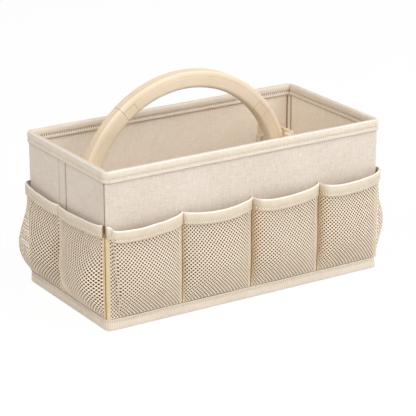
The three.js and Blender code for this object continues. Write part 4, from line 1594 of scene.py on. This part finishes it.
# How much of the floor is plain white to the camera, and how bright. The rest takes the shadow.
FLOOR_WHITE_SHARE, FLOOR_WHITE = 0.93, 1.02


def aim(piece, direction):
    """Turns a lamp or a camera to look along a direction."""
    piece.rotation_mode = "QUATERNION"
    piece.rotation_quaternion = direction.to_track_quat("-Z", "Y")


def make_camera():
    azimuth, elevation = math.radians(CAMERA_AZIMUTH), math.radians(CAMERA_ELEVATION)
    back = Vector(
        (
            math.sin(azimuth) * math.cos(elevation),
            -math.cos(azimuth) * math.cos(elevation),
            math.sin(elevation),
        )
    )
    data = bpy.data.cameras.new("camera")
    data.lens = CAMERA_LENS
    data.sensor_width = 36
    data.clip_end = 20
    camera = placed("camera", data)
    camera.location = (CAMERA_TARGET + back * CAMERA_DISTANCE) * MM
    aim(camera, -back)
    bpy.context.scene.camera = camera


def make_lamps():
    for name, (place, size, power, colour) in LAMPS.items():
        data = bpy.data.lights.new(name, "AREA")
        data.color = colour
        data.shape = "DISK"
        data.size = size
        data.energy = power
        lamp = placed(name, data)
        lamp.location = place
        aim(lamp, -Vector(place))


def seen_directly(tree):
    """1 for rays from the camera and for rays seen in gloss or through glass, and 0 for light."""
    seen, *others = [
        add(tree, "ShaderNodeLightPath").outputs[f"Is {ray} Ray"]
        for ray in ("Camera", "Glossy", "Transmission")
    ]
    for other in others:
        seen = add(tree, "ShaderNodeMath", {0: seen, 1: other}, operation="MAXIMUM").outputs[0]
    return seen


def make_stage():
    """A white world and floor that light the caddy at a plain level, and the lamps."""
    world = bpy.data.worlds.new("studio")
    bpy.context.scene.world = world
    world.use_nodes = True
    tree = world.node_tree
    levels = {"Value": seen_directly(tree), "To Min": WORLD_LIGHT, "To Max": 1.0}
    strength = add(tree, "ShaderNodeMapRange", levels)
    feed(tree, tree.nodes["Background"], {"Strength": strength, "Color": WHITE})

    mesh = bpy.data.meshes.new("studio_floor")
    signs = ((-1, -1), (1, -1), (1, 1), (-1, 1))
    mesh.from_pydata([(x * FLOOR_REACH, y * FLOOR_REACH, 0) for x, y in signs], [], [range(4)])
    placed("studio_floor", mesh)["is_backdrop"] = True
    material, tree, shader, _ = new_material("white_studio_floor")
    paint = {"Base Color": FLOOR_GREY, "Roughness": 0.9, "Specular IOR Level": 0.0}
    feed(tree, shader, paint)
    glow = add(tree, "ShaderNodeEmission", {"Color": WHITE, "Strength": FLOOR_WHITE})
    seen = {0: seen_directly(tree), 1: FLOOR_WHITE_SHARE}
    share = add(tree, "ShaderNodeMath", seen, operation="MULTIPLY")
    both = add(tree, "ShaderNodeMixShader", {0: share, 1: shader, 2: glow})
    feed(tree, tree.nodes["Material Output"], {"Surface": both})
    mesh.materials.append(material)
    make_lamps()


def make_caddy():
    make_camera()
    make_stage()
    make_walls()
    make_corners()
    make_hem()
    make_binding()
    cloth_slab("floor_lining", "floor_cloth", 31.0, 0.2)
    cloth_slab("under_cloth", "bottom_cloth", 33.0, 0.1)
    make_pockets()
    make_grip()
    make_leg("right", RIGHT_SEAM, 1)
    make_leg("left", LEFT_SEAM, -1)
    make_upright("right")
    make_upright("left")
    make_rivets()
    finish_nodes()


make_caddy()
bpy.context.scene.view_settings.view_transform = "Standard"
boxes = {"cad": cad_box, "visual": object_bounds()}
{name: [list(corner) for corner in box] for name, box in boxes.items()}
